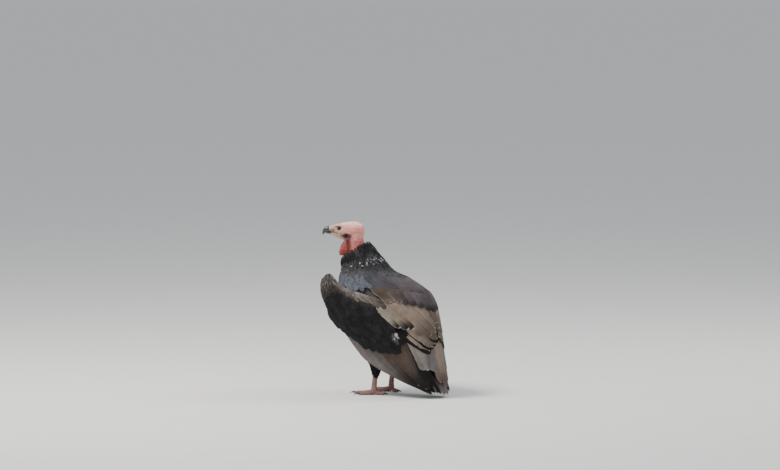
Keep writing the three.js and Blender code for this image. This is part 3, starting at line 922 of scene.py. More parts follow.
# Skin tones: base ones for each part, then marks on the head, each with its reach and share
tones = {
    "downAndShade": (0.035, 0.033, 0.034),
    "nape": (0.68, 0.245, 0.22),
    "neck": (0.5, 0.15, 0.135),
    "face": (0.44, 0.27, 0.205),
    "lid": (0.03, 0.016, 0.014),
    # near black for the ear's hole: painted shade
    "ear": (0.006, 0.004, 0.003),
    "leg": (0.225, 0.115, 0.098),
    "pad": (0.2, 0.12, 0.1),
}
headMarks = [
    ((0, 0, 24), (56, 30, 20), (0.76, 0.54, 0.43), 0.9),  # crown: pale skin, made paler still as a painted highlight from the light above
    ((52, 0, 20), (30, 18, 13), (0.72, 0.52, 0.40), 0.8),  # forehead: pale skin, made paler still as a painted highlight from the light above
    ((82, 8, 2), (15, 16, 15), (0.52, 0.38, 0.28), 0.85),  # cere
    ((68, 12, -26), (24, 18, 7), (0.48, 0.36, 0.27), 0.75),  # under the mouth
    ((72, 15, -3), (6, 9, 6), (0.36, 0.22, 0.13), 0.75),  # lore
    ((77, 14, -7), (3.4, 9, 4.5), (0.12, 0.06, 0.04), 0.8),  # nostril, its hollow darkened as painted shade
    ((85, 12, -6), (3, 12, 8), (0.14, 0.075, 0.055), 0.6),  # edge of the horn
    ((60, 19, 4.5), (12, 13, 7), (0.26, 0.13, 0.10), 0.75),  # round the eye: darker skin, partly painted shade in the eye's socket
    ((66, 18, 6), (9, 13, 2.6), (0.045, 0.02, 0.016), 0.95),  # brow line
    ((50, 24, -13), (11, 11, 8), (0.44, 0.235, 0.20), 0.8),  # cheek
    ((46, 24, -27), (9, 13, 6), (0.16, 0.065, 0.06), 0.75),  # back of the jaw, darkened as painted shade
    ((27, 29, -30), (16, 18, 12), (0.05, 0.02, 0.017), 0.9),  # ear: its hollow darkened as painted shade, deepest at the core below
    ((33, 29, -27), (9.5, 18, 8.5), (0.008, 0.005, 0.004), 1.0),
    ((27, 28, -44), (7, 18, 14), (0.035, 0.01, 0.009), 0.95),  # fold under the ear, darkened as painted shade
    ((44, 24, -70), (18, 18, 32), (0.30, 0.05, 0.045), 0.9),  # lappet
    ((56, 24, -64), (4.5, 18, 26), (0.56, 0.22, 0.19), 0.6),  # its front edge
    ((23, 28, -62), (6, 18, 26), (0.13, 0.022, 0.02), 0.9),  # fold behind it, darkened as painted shade
    ((-8, 24, -30), (16, 20, 12), (0.62, 0.30, 0.26), 0.6),  # behind the ear
]
# The mouth's crease, darkened as painted shade
headMarks += [((forward, 16, rise), (4.5, 14, 1.5), (0.15, 0.06, 0.05), 0.8) for forward, rise in mouthLine]


def paintSkin(mesh):
    points = inMillimetres(mesh)
    place = headPlace(points)
    forward, left, rise = place
    y, z = points[:, 1:2], points[:, 2:3]
    tone = np.array(tones["neck"])

    def paint(name, share):
        return mix(tone, np.array(tones[name]), share)

    onHead = ease(z, 540, 580)
    tone = paint("nape", onHead)
    tone = paint("face", ease(forward, 24, 60)[:, None] * onHead)
    for middle, reach, colour, share in headMarks:
        near = np.clip(1.4 * np.exp(-(awayFrom(place, middle, reach) ** 1.5)), 0, 1)
        tone = mix(tone, np.array(colour), share * near[:, None])
    # The rim of the lids is dark, and the hole of the ear is darkened as painted shade
    fromEye = np.hypot(forward - eyeAt["forward"], rise)
    lid = (1 - ease(fromEye, 6.2, 8.6)) * ease(np.abs(left), 13, 17)
    tone = paint("lid", lid[:, None])
    fromEar = np.hypot((forward - 32) / 1.35, rise + 28) + 3 * creases(points, 5.0)
    earHoleShade = (1 - ease(fromEar, 5.5, 9)) * ease(np.abs(left), 12, 18)
    tone = paint("ear", earHoleShade[:, None])
    # Below the ruff's rim the skin is painted near black: partly the dark down, partly painted shade deep
    # in the plumage where gaps show the skin
    belowRuff = 1 - ease(z - 0.52 * y, 561, 571)
    tone = paint("downAndShade", belowRuff)
    leg = (1 - ease(z, 92, 100)) * (y < 110)
    tone = paint("leg", leg)
    tone = paint("pad", (1 - ease(z, 0.5, 5)) * leg)
    setAttribute(mesh, "tone", "FLOAT_COLOR", np.column_stack([tone, np.ones(len(tone))]))
    setAttribute(mesh, "scaly", "FLOAT", leg)


def skinMaterial():
    material, shader = newMaterial("bare_skin", 0.52)
    place = objectPlace(material)
    blotches = noiseAt(material, place, 70.0, 4)
    veins = noiseAt(material, place, 260.0, 3)
    green, blue = (fade(material, veins, 0.35, 0.65, *spread) for spread in ((0.82, 1.1), (0.8, 1.08)))
    colour = toned(material, attributeOf(material, "tone")["Color"], 1.0, green, blue)
    grey = fade(material, blotches, 0.3, 0.7, 0.86, 1.1)
    link(material, toned(material, colour, grey, grey, grey), shader.inputs["Base Color"])
    pores = times(material, fade(material, cellsAt(material, place, 900.0), 0.0, 0.3), 0.14)
    plates = fade(material, cellsAt(material, place, 330.0), 0.0, 0.18)
    plates = times(material, plates, attributeOf(material, "scaly")["Fac"])
    bumpInto(material, shader, plus(material, plus(material, pores, plates), veins), 0.0006, 0.6)
    link(material, fade(material, veins, 0.3, 0.7, 0.46, 0.64), shader.inputs["Roughness"])
    return material


fleshNodes = ["trunk", "neck", "neck_ruff", "head", "cere", "lappet_left", "lappet_right"]
fleshNodes += [f"{part}_{side}" for side in sideSigns for part in ("thigh", "shank", "foot")]


def finishPiece(piece, nodes=()):
    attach(piece, "root")
    if nodes:
        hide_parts(*nodes)


skinPiece = makeSkin()
paintSkin(skinPiece.data)
skinPiece.data.materials.clear()
skinPiece.data.materials.append(skinMaterial())
finishPiece(skinPiece, fleshNodes)
print("skin:", len(skinPiece.data.polygons), "faces")


# Eyes, bill and claws

eye = {
    "dark": (0.016, 0.006, 0.004, 1),
    "ring": (0.085, 0.032, 0.014, 1),
    "black": (0.004, 0.004, 0.004, 1),
    "white": (0.02, 0.012, 0.01, 1),  # what shows past the iris is dark too
    "pupil": 2.9,
    "iris": 5.2,
    "cornea": (0.5, 4.4),  # how far it stands out, and its reach
    "tuck": 0.1,  # how much narrower the ball is behind the lids
}


def makeEye(name, side):
    bpy.ops.mesh.primitive_uv_sphere_add(segments=48, ring_count=32, radius=eyeAt["radius"])
    ball = bpy.context.object
    mesh = ball.data
    ball.name = name
    local = verts(mesh)
    fromPole = np.hypot(local[:, 0], local[:, 1])
    local *= 1 - eye["tuck"] * ease(fromPole, 6.4, 7.6)[:, None]
    front = ease(local[:, 2], 0, eyeAt["radius"])
    stands, reach = eye["cornea"]
    local[:, 2] += stands * front * np.exp(-((fromPole / reach) ** 2))
    look, up = lookLeft * side, np.array([0, 0, 1.0])
    forward, out = float(eyeAt["forward"]), side * eyeAt["out"]
    centre = headPoint(np.array(forward), np.array(out), np.array(0.0))
    points = centre + local[:, :1] * lookAhead + local[:, 1:2] * up + local[:, 2:] * look
    setVerts(mesh, toMetres(points))
    if np.cross(lookAhead, up) @ look < 0:
        mesh.flip_normals()
    mesh.shade_smooth()
    setAttribute(mesh, "fromPole", "FLOAT", np.where(local[:, 2] > 0, fromPole, 20))
    return ball


def eyeMaterial():
    material, shader = newMaterial("wet_eye", 0.05)
    fromPole = attributeOf(material, "fromPole")["Fac"]
    fibres = noiseAt(material, objectPlace(material), 900.0, 4)
    brown = blendColour(material, fibres, eye["dark"], eye["ring"])
    pastPupil = fade(material, fromPole, eye["pupil"], eye["pupil"] + 0.4)
    pastIris = fade(material, fromPole, eye["iris"], eye["iris"] + 0.7)
    colour = blendColour(material, pastPupil, eye["black"], brown)
    link(material, blendColour(material, pastIris, colour, eye["white"]), shader.inputs["Base Color"])
    shader.inputs["Specular IOR Level"].default_value = 0.3
    return material


hornTones = {
    "dark": (0.022, 0.021, 0.02, 1),
    "light": (0.075, 0.07, 0.062, 1),
    # pale mottling where the horn is worn
    "wornAndGlint": (0.16, 0.145, 0.12, 1),
}


def hornMaterial():
    material, shader = newMaterial("horn", 0.36)
    place = objectPlace(material)
    inputs = {"Vector": place, "Scale": (1.0, 1.0, 3.0)}
    layers = noiseAt(material, addNode(material, "ShaderNodeMapping", inputs).outputs[0], 190.0, 4)
    wear = fade(material, noiseAt(material, place, 60.0, 3), 0.55, 0.75, 0.0, 0.6)
    colour = blendColour(material, fade(material, layers, 0.35, 0.7), hornTones["dark"], hornTones["light"])
    link(material, blendColour(material, wear, colour, hornTones["wornAndGlint"]), shader.inputs["Base Color"])
    link(material, fade(material, layers, 0.3, 0.7, 0.28, 0.46), shader.inputs["Roughness"])
    bumpInto(material, shader, layers, 0.0004, 0.5)
    return material


clawShape = {
    "length": 22.5,
    "inset": 2,  # how far it starts inside the toe
    "root": 6.2,  # height of its middle line: start, rise, fall
    "rise": 6.4,
    "fall": 10.8,
    "thick": (4.4, 0.3),
    "narrow": 0.74,
}


def clawRings(side, toe):
    t = np.linspace(0, 1, 20)
    turn = circle(16)
    ahead = toe["length"] - clawShape["inset"] + clawShape["length"] * t
    height = clawShape["root"] + clawShape["rise"] * t - clawShape["fall"] * t**2
    slope = np.arctan2(clawShape["rise"] - 2 * clawShape["fall"] * t, clawShape["length"])
    size = mix(*clawShape["thick"], t**1.3)
    aside = (size * clawShape["narrow"])[:, None] * np.sin(turn)
    forward = ahead[:, None] - (size * np.sin(slope))[:, None] * np.cos(turn)
    above = height[:, None] + (size * np.cos(slope))[:, None] * np.cos(turn)
    return footPoint(side, toe["turn"], forward, aside, np.maximum(above, 0.1))


wetEye, horn = eyeMaterial(), hornMaterial()
for sideName, sign in sideSigns.items():
    eyeball = makeEye(f"eyeball_{sideName}", sign)
    eyeball.data.materials.append(wetEye)
    finishPiece(eyeball, [f"eye_{sideName}"])
for name, rows, step, flatSide in (("upper", upperBillRows, 0.5, -1), ("lower", lowerBillRows, 0.8, 1)):
    half = tubeObject(f"horn_bill_{name}", headRings(rows, step, 40, flatSide))
    half.data.materials.append(horn)
    finishPiece(half, [f"bill_{name}"])
for sideName, sign in sideSigns.items():
    for toe in toes:
        claw = tubeObject(f"talon_{sideName}_{toe['name']}", clawRings(sign, toe))
        claw.data.materials.append(horn)
        finishPiece(claw, [f"claw_{sideName}_{toe['name']}"])
print("eyes, bill and claws are made")


# Small feathers: laid over a guide surface by geometry nodes

plumes = {
    "black": (0.0065, 0.0058, 0.0065),
    "soot": (0.016, 0.0145, 0.015),
    "slate": (0.048, 0.048, 0.055),
    "violet": (0.072, 0.056, 0.060),
    "blue": (0.082, 0.092, 0.108),
    "umber": (0.066, 0.048, 0.037),
    "tan": (0.195, 0.148, 0.114),
    "buff": (0.28, 0.235, 0.19),
    "cream": (0.62, 0.54, 0.43),
    "grey": (0.19, 0.165, 0.142),
    "lilac": (0.135, 0.118, 0.112),
    "white": (0.75, 0.73, 0.69),
}


def tone(name):
    return np.array(plumes[name])


smallFeathers = {  # half width for a length of 1, where it is widest, how blunt the tip is, its arch
    "lance": {"half": 0.095, "widest": 0.35, "blunt": 1.0, "arch": 0.025},
    "round": {"half": 0.21, "widest": 0.6, "blunt": 0.66, "arch": 0.018},
    "plume": {"half": 0.16, "widest": 0.4, "blunt": 1.0, "arch": 0.02},
}
smallRows = np.array([0, 0.12, 0.3, 0.5, 0.68, 0.84, 0.94, 1.0])
smallAcross = np.array([-1, -0.5, 0, 0.5, 1, 0])  # over the top and back under the shaft
smallLevels = np.array([0, 0.55, 1, 0.55, 0, -0.25])


def smallFeather(name):
    # Root at the origin, tip along Y, upper face up, and one unit long
    shape = smallFeathers[name]
    ring = len(smallAcross)
    rising = ease(smallRows, -0.1, shape["widest"])
    pastWidest = np.clip((smallRows - shape["widest"]) / (1 - shape["widest"]), 0, 0.985)
    half = shape["half"] * mix(0.25, 1, rising) * (1 - pastWidest**2) ** shape["blunt"]
    points = np.zeros((len(smallRows), ring, 3))
    points[..., 0] = half[:, None] * smallAcross
    points[..., 1] = smallRows[:, None] - 0.06 * np.abs(smallAcross) * ease(smallRows, 0.6, 1)[:, None]
    points[..., 2] = smallLevels * shape["arch"] * mix(0.6, 1, rising)[:, None]
    quads, ends = tubeFaces(len(smallRows), ring)
    mesh = meshFrom(f"feather_{name}", points, quads + ends)
    corners = numbersOf(mesh.loops, "vertex_index", 1, int)
    vane = np.stack([(np.tile(smallAcross, len(smallRows)) + 1) / 2, np.repeat(smallRows, ring)], -1)
    setAttribute(mesh, "vane", "FLOAT2", vane[corners], "CORNER")
    setAttribute(mesh, "along", "FLOAT", vane[:, 1])
    setAttribute(mesh, "rise", "FLOAT", points[..., 2])
    sharpRim(mesh, ring, (0, 4))
    piece = addObject(f"feather_{name}", mesh)
    piece.hide_render = piece.hide_viewport = True
    return piece


coatInputs = {  # the tree's inputs: kind, and the value where a coat doesn't say
    "Feather": ("NodeSocketObject", None),
    "Spacing": ("NodeSocketFloat", 0.01),
    "Seed": ("NodeSocketInt", 1),
    "Size Spread": ("NodeSocketFloat", 0.15),
    "Turn": ("NodeSocketFloat", 0.15),
    "Raise": ("NodeSocketFloat", 0.0),
    "Hug": ("NodeSocketFloat", 1.0),
    "Tip Lift": ("NodeSocketFloat", 0.05),
    "Ragged": ("NodeSocketFloat", 0.006),
    "Patch": ("NodeSocketFloat", 0.003),
    "Finish": ("NodeSocketMaterial", None),
}


def named(tree, name, kind="FLOAT"):
    return addNode(tree, "GeometryNodeInputNamedAttribute", {"Name": name}, data_type=kind).outputs[0]


def vectorMath(tree, operation, *values):
    return addNode(tree, "ShaderNodeVectorMath", dict(enumerate(values)), operation=operation).outputs[0]


def scaled(tree, vector, factor):
    return addNode(tree, "ShaderNodeVectorMath", {0: vector, "Scale": factor}, operation="SCALE").outputs[0]


def store(tree, geometry, name, kind, value, domain="POINT"):
    inputs = {"Geometry": geometry, "Name": name, "Value": value}
    node = addNode(tree, "GeometryNodeStoreNamedAttribute", inputs, data_type=kind, domain=domain)
    return node.outputs[0]


def randomIn(tree, low, high, seed):
    # Its third and fourth inputs are the plain numbers' limits
    inputs = {2: low, 3: high, "Seed": seed}
    return addNode(tree, "FunctionNodeRandomValue", inputs, data_type="FLOAT").outputs[1]


def coatTree():
    tree = bpy.data.node_groups.new("lay feathers", "GeometryNodeTree")
    tree.interface.new_socket("Guide", in_out="INPUT", socket_type="NodeSocketGeometry")
    for name, (kind, _) in coatInputs.items():
        tree.interface.new_socket(name, in_out="INPUT", socket_type=kind)
    tree.interface.new_socket("Coat", in_out="OUTPUT", socket_type="NodeSocketGeometry")
    given = addNode(tree, "NodeGroupInput").outputs
    guide, seed = given["Guide"], given["Seed"]
    inputs = {"Mesh": guide, "Distance Min": given["Spacing"], "Density Max": 90000.0, "Seed": seed}
    inputs["Density Factor"] = named(tree, "cover")
    scatter = "GeometryNodeDistributePointsOnFaces"
    roots = addNode(tree, scatter, inputs, distribute_method="POISSON").outputs
    # Each feather points along the lie of the coat, a little astray
    inputs = {"Rotation": roots["Rotation"], "Vector": named(tree, "lie", "FLOAT_VECTOR")}
    align = "FunctionNodeAlignRotationToVector"
    aligned = addNode(tree, align, inputs, axis="Y", pivot_axis="Z").outputs[0]
    stray = randomIn(tree, times(tree, given["Turn"], -1.0), given["Turn"], seed)
    inputs = {"Rotation": aligned, "Rotate By": combined(tree, given["Raise"], 0.0, stray)}
    turned = addNode(tree, "FunctionNodeRotateRotation", inputs, rotation_space="LOCAL").outputs[0]
    spread = given["Size Spread"]
    spread = randomIn(tree, times(tree, spread, -1.0), spread, plus(tree, seed, 7.0))
    length = times(tree, named(tree, "size"), plus(tree, spread, 1.0))
    points = store(tree, roots["Points"], "length", "FLOAT", length)
    points = store(tree, points, "phase", "FLOAT", randomIn(tree, 0.0, 1.0, plus(tree, seed, 13.0)))
    inputs = {"Object": given["Feather"], "As Instance": True}
    shape = addNode(tree, "GeometryNodeObjectInfo", inputs).outputs["Geometry"]
    inputs = {"Points": points, "Instance": shape, "Rotation": turned, "Scale": named(tree, "length")}
    coat = addNode(tree, "GeometryNodeInstanceOnPoints", inputs).outputs[0]
    coat = addNode(tree, "GeometryNodeRealizeInstances", {"Geometry": coat}).outputs[0]
    # Then it bends down onto the guide, where the coat lies close, and frays towards the tip
    near = addNode(tree, "GeometryNodeProximity", {0: guide}, target_element="FACES").outputs["Position"]
    inputs = {"Mesh": guide, "Value": named(tree, "out", "FLOAT_VECTOR")}
    out = addNode(tree, "GeometryNodeSampleNearestSurface", inputs, data_type="FLOAT_VECTOR").outputs[0]
    lift = times(tree, named(tree, "along"), given["Tip Lift"])
    lift = plus(tree, lift, times(tree, named(tree, "phase"), 0.02))
    lift = times(tree, plus(tree, lift, named(tree, "rise")), named(tree, "length"))
    position = addNode(tree, "GeometryNodeInputPosition").outputs[0]
    inputs = {"Vector": position, "Scale": 160.0, "Detail": 1.0}
    grain = addNode(tree, "ShaderNodeTexNoise", inputs).outputs["Color"]
    ragged = scaled(tree, vectorMath(tree, "SUBTRACT", grain, (0.5, 0.5, 0.5)), given["Ragged"])
    near = vectorMath(tree, "ADD", near, scaled(tree, ragged, named(tree, "along")))
    inputs = {0: given["Hug"], 4: position, 5: vectorMath(tree, "ADD", near, scaled(tree, out, lift))}
    place = addNode(tree, "ShaderNodeMix", inputs, data_type="VECTOR").outputs[1]
    coat = addNode(tree, "GeometryNodeSetPosition", {"Geometry": coat, "Position": place}).outputs[0]
    # Its colours get a spot on the bake's map: a small patch where its root lies on the unwrapped guide
    patch = vectorMath(tree, "SUBTRACT", named(tree, "vane", "FLOAT_VECTOR"), (0.5, 0.5, 0.0))
    patch = scaled(tree, patch, given["Patch"])
    spot = vectorMath(tree, "ADD", named(tree, "rootPlace", "FLOAT_VECTOR"), patch)
    coat = store(tree, coat, "OFBake", "FLOAT2", spot, "CORNER")
    inputs = {"Geometry": coat, "Material": given["Finish"]}
    addNode(tree, "NodeGroupOutput", {"Coat": addNode(tree, "GeometryNodeSetMaterial", inputs).outputs[0]})
    return tree


bakeEdge = 0.02  # share of the bake's map that stays free round a guide


def guideFrom(name, grid, traits, closedRound=False, backwards=False):
    # Rows of the grid run the way that the feathers lie. Traits are given for every place
    rows, columns = grid.shape[:2]
    way = unit(np.gradient(grid, axis=0)).reshape(-1, 3)
    down = np.repeat(np.linspace(0, 1, rows), columns)
    aside = np.tile(np.linspace(0, 1, columns, endpoint=not closedRound), rows)
    points = grid.reshape(-1, 3)
    mesh = meshFrom(name, toMetres(points), sheetFaces(rows, columns, closedRound), closed=False)
    out = normals(mesh)
    if dot(out, unit(points - points.mean(axis=0))).mean() < 0:
        mesh.flip_normals()
        out = -out
    given = {"cover": 1.0, "plume": rgba(tone("black")), "fringe": rgba(tone("soot"), 0)}
    given["tip"] = given["fringe"]
    given.update(traits(points, aside, down))
    given["size"] = given["size"] * mm
    setAttribute(mesh, "out", "FLOAT_VECTOR", out)
    setAttribute(mesh, "lie", "FLOAT_VECTOR", -way if backwards else way)
    for field in ("size", "cover"):
        setAttribute(mesh, field, "FLOAT", np.broadcast_to(given[field], down.shape))
    for field in ("plume", "fringe", "tip"):
        setAttribute(mesh, field, "FLOAT_COLOR", np.broadcast_to(given[field], (len(down), 4)))
    spot = [mix(bakeEdge, 1 - bakeEdge, aside), mix(bakeEdge, 1 - bakeEdge, down), 0 * down]
    setAttribute(mesh, "rootPlace", "FLOAT_VECTOR", np.column_stack(spot))
    return addObject(name, mesh)


layFeathers = coatTree()
shapes = {name: smallFeather(name) for name in smallFeathers}
softPlumage = plumageMaterial("soft_plumage")


def layCoat(name, guide, choices):
    given = {key: value for key, (_, value) in coatInputs.items()}
    given.update(choices)
    given["Feather"] = shapes[given["Feather"]]
    given["Finish"] = softPlumage
    modifier = guide.modifiers.new("lay feathers", "NODES")
    modifier.node_group = layFeathers
    for item in layFeathers.interface.items_tree:
        if item.in_out == "INPUT" and item.name in given:
            modifier[item.identifier] = given[item.name]
    mesh = evaluated(guide)
    drop(guide)
    mesh.name = name
    for extra in ("lie", "out", "size", "cover", "length", "rise", "along", "rootPlace"):
        attribute = mesh.attributes.get(extra)
        if attribute:
            mesh.attributes.remove(attribute)
    print(f"{name}: {sum(len(face.vertices) - 2 for face in mesh.polygons)} triangles")
    return addObject(name, mesh)


def patchy(points, scale, shift=0.0):
    return creases(points, scale, shift=shift)[:, None]


def withAlpha(colours, alpha):
    # A colour and an alpha for each place, where either may be the same for all
    alpha = np.reshape(alpha, (-1, 1))
    count = max(len(alpha), len(np.atleast_2d(colours)))
    return np.column_stack([np.broadcast_to(colours, (count, 3)), np.broadcast_to(alpha, (count, 1))])


thighTop = [[244, 60, 2, 29, 42], [256, 56, 4, 18, 30], [262, 54, 5, 7, 14]]  # its feathers close over it
bodyCoat = {
    "grow": -4.0,
    "length": 36,
    "shownTo": [  # height, and how far back the breast shows past the folded wings
        [150, 20], [210, -60], [250, -95], [290, -118], [330, -105], [370, -85], [450, -60], [500, -60],
    ],
    "shownBelow": (-215, -180),
    "crop": ((52, 406), (12, 13), -95),  # pale down: middle (out, height), reach, and what it lies before
    "flank": ((72, 226, -56), (14, 13, 24)),
    "spacing": 0.007,
    "look": {"Feather": "round", "Size Spread": 0.2, "Turn": 0.16, "Tip Lift": 0.04, "Seed": 3},
}


def bodyTraits(points, aside, down):
    # Bare of feathers where the folded wings hide it
    x, y, height = points.T
    limit = through(bodyCoat["shownTo"])(np.clip(height, 150, 500)).ravel()
    shown = (y < limit) | (ease(-height, *bodyCoat["shownBelow"]) > 0.5)
    base = mix(tone("black"), tone("soot"), ease(patchy(points, 40), -0.4, 0.5))
    # The pale down at each side of the crop, and on the flanks in front of the thighs
    (out, level), (reachOut, reachUp), before = bodyCoat["crop"]
    crop = np.exp(-(((np.abs(x) - out) / reachOut) ** 2 + ((height - level) / reachUp) ** 2)) * (y < before)
    middle, reach = (np.array(row) for row in bodyCoat["flank"])
    places = np.column_stack([np.abs(x), height, y])
    flank = np.exp(-(((places - middle) / reach) ** 2).sum(axis=1))
    pale = np.clip(1.2 * crop + 0.9 * flank, 0, 1)[:, None] + 0.35 * patchy(points, 7, 12)
    return {
        "size": bodyCoat["length"] * mix(0.75, 1, ease(-height, -440, -330)),
        "cover": shown * 1.0,
        "plume": withAlpha(mix(base, tone("cream") * 0.8, ease(pale, 0.45, 0.8)), 1),
        "fringe": rgba(tone("slate"), 0.12),
    }


thighCoat = {
    "grow": -2.5,
    "length": (38, 30),
    "spacing": 0.0048,
    "look": {"Feather": "plume", "Size Spread": 0.2, "Turn": 0.25, "Tip Lift": 0.09, "Hug": 0.6},
}


def thighTraits(points, aside, down):
    return {
        "size": mix(*thighCoat["length"], ease(-points[:, 2], -130, -86)),
        "fringe": rgba(tone("soot"), 0.1),
    }


ruffCoat = {
    "length": (25, 14),  # low on the ruff, and towards its rim
    "rimLength": (11.5, 24),  # round the neck, and behind it
    "flecks": {"band": (488, 494, 520, 528), "scale": 4.0, "share": (0.36, 0.4)},  # white tips
    "grow": (-3.5, -2.5),  # on the ruff, and on its rim
    "spacing": (0.0033, 0.0024),
    "look": {"Feather": "lance", "Size Spread": 0.25, "Turn": 0.22, "Tip Lift": 0.07, "Seed": 21},
    "rimLook": {"Turn": 0.45, "Tip Lift": 0.05, "Hug": 0.3, "Raise": -0.1, "Seed": 23},
}


def flecks(points):
    # A few white tips in a band below the rim, which is higher behind
    level = points[:, 2] - 0.3 * points[:, 1]
    low, full, fading, high = ruffCoat["flecks"]["band"]
    band = ease(level, low, full) * ease(-level, -high, -fading)
    share = ease(patchy(points, ruffCoat["flecks"]["scale"], 30.0), *ruffCoat["flecks"]["share"])
    return withAlpha(tone("white"), share * band[:, None])


def ruffTraits(points, aside, down):
    greying = ease(patchy(points, 26), -0.2, 0.6) * ease(points[:, 1], -120, -40)[:, None]
    return {
        "size": mix(*ruffCoat["length"], ease(down, 0.6, 1)),
        "plume": withAlpha(mix(tone("black"), tone("slate"), greying * 0.75), 1),
        "fringe": rgba(tone("slate"), 0.2),
        "tip": flecks(points),
    }


def rimTraits(points, aside, down):
    behind = np.exp(-((np.minimum(aside, 1 - aside) / 0.11) ** 2))
    return {"size": mix(*ruffCoat["rimLength"], behind)}


mantleCoat = {
    "across": 0.83,
    "top": (498, 24),  # height at the middle of the back, and how much lower at the sides
    "bottom": (322, 52),  # and how much higher at the sides
    "length": 42,
    "spacing": 0.0075,
    "look": {"Feather": "round", "Turn": 0.1, "Tip Lift": 0.045, "Seed": 31},
}


def mantleGrid(rows=90, columns=120):
    across = np.linspace(-mantleCoat["across"], mantleCoat["across"], columns)
    (top, falls), (bottom, rises) = mantleCoat["top"], mantleCoat["bottom"]
    high = top - falls * ease(np.abs(across), 0.3, 0.86)
    low = bottom + rises * ease(np.abs(across), 0.1, 0.86)
    height = mix(high, low, np.linspace(0, 1, rows)[:, None])
    return mantleFace(np.tile(across, rows), height.ravel()).reshape(rows, columns, 3)


def mantleTraits(points, aside, down):
    across = np.abs(aside * 2 - 1) * 0.86
    height = points[:, 2]
    onBack = ease(patchy(points, 36), -0.35, 0.4) * ease(-height, -430, -340)[:, None]
    atShoulder = (ease(across, 0.42, 0.58) * ease(-height, -452, -425))[:, None]
    nearRuff = ease(height, 440, 475)[:, None]
    base = mix(tone("slate"), tone("violet"), onBack)
    base = mix(base, tone("blue"), atShoulder * 0.9)
    base = mix(base, tone("soot"), nearRuff * 0.8)
    length = mantleCoat["length"] * mix(0.5, 1, ease(-height, -485, -390))
    plain = (1 - atShoulder) * (1 - nearRuff)
    return {
        "size": length * mix(1, 0.85, ease(across, 0.5, 0.86)),
        "cover": (1 - ease(down, 0.68, 0.92)) * (1 - ease(across, 0.3, 0.4) * ease(-height, -412, -396)),
        "plume": withAlpha(base, 1),
        "fringe": withAlpha(mix(tone("slate"), tone("lilac"), 0.6), 0.16 * plain),
        "tip": flecks(points),
    }


armCoat = {
    "grow": 0.4,
    "length": (13, 38),
    "wornAndGlint": (0.56, 243.0),  # the pale spot of painted highlight, a glint on the glossy coverts, by its place on the wing's face
    "glintReach": 11,
    "spacing": 0.0058,
    "look": {"Feather": "round", "Size Spread": 0.2, "Turn": 0.14, "Tip Lift": 0.04},
}


def armTraits(points, aside, down):
    # Aside runs from 0 at the leading edge over the outer face, then back along the inner face
    base = mix(tone("black"), tone("soot"), ease(patchy(points, 22), -0.3, 0.5))
    rim = (ease(-aside, -0.13, -0.02) + ease(aside, 0.9, 0.99)) * ease(-down, -0.42, -0.02)
    wrist = ease(-down, -0.22, -0.02)
    brown = np.clip(rim * 0.75 + wrist * 0.85, 0, 1)[:, None] * ease(patchy(points, 9, 5), -0.7, 0.2)
    base = mix(base, mix(tone("umber"), tone("grey"), 0.65), brown)
    upperRim = (np.exp(-(((aside - 0.6) / 0.07) ** 2)) * ease(-down, -0.45, -0.1))[:, None]
    base = mix(base, tone("grey"), 0.8 * upperRim)
    inner = (1 - ease(-aside, -0.62, -0.56))[:, None] * (1 - ease(down, 0.1, 0.5))[:, None]
    base = mix(base, tone("lilac"), 0.5 * inner)
    # A pale spot of painted highlight, where light glints off the glossy coverts
    across, height = armCoat["wornAndGlint"]
    wornAndGlint = wingFace(np.array([across]), np.array([height]))[0]
    fromGlint = np.linalg.norm(np.column_stack([np.abs(points[:, 0]), points[:, 1:]]) - wornAndGlint, axis=1)
    base = mix(base, tone("white"), 0.55 * np.exp(-((fromGlint / armCoat["glintReach"]) ** 4))[:, None])
    return {
        "size": mix(*armCoat["length"], ease(down, 0.0, 0.4)),
        "plume": withAlpha(base, 1),
        "fringe": withAlpha(mix(base, tone("grey"), 0.25), 0.14),
    }


def addCoat(name, grid, traits, spacing, look, closedRound=True, backwards=False, nodes=()):
    guide = guideFrom(f"{name}_guide", grid, traits, closedRound, backwards)
    finishPiece(layCoat(name, guide, {**look, "Spacing": spacing}), nodes)


grid = bodyGrid(bodyRows, 0.4, 9.9, 90, 110, bodyCoat["grow"])
addCoat("coat_body", grid, bodyTraits, bodyCoat["spacing"], bodyCoat["look"])
for sideName, sign in sideSigns.items():
    grid = legRings(thighRows + thighTop, sign, 3, 60, thighCoat["grow"])[::-1]
    look = {**thighCoat["look"], "Seed": 11 + sign}
    addCoat(f"coat_thigh_{sideName}", grid, thighTraits, thighCoat["spacing"], look)
spacing, rimSpacing = ruffCoat["spacing"]
grid = bodyGrid(ruffRows, 0, 5.3, 50, 130, ruffCoat["grow"][0])
addCoat("coat_ruff", grid, ruffTraits, spacing, ruffCoat["look"], backwards=True)
grid = bodyGrid(ruffRows, 4.2, 6.3, 26, 150, ruffCoat["grow"][1])
look = {**ruffCoat["look"], **ruffCoat["rimLook"]}
addCoat("coat_rim", grid, rimTraits, rimSpacing, look)
spacing, look = mantleCoat["spacing"], mantleCoat["look"]
addCoat("coat_mantle", mantleGrid(), mantleTraits, spacing, look, closedRound=False)
for sideName, sign in sideSigns.items():
    grid = armRings(sign, armCoat["grow"], 90, 34, 20)
    spacing, look = armCoat["spacing"], {**armCoat["look"], "Seed": 41 + sign}
    covered = [f"wing_{sideName}_coverts"]
    addCoat(f"coat_wing_{sideName}", grid, armTraits, spacing, look, nodes=covered)
print("small feathers are laid")


# Large feathers: each layer is an array of vanes that bend with the surface they lie on

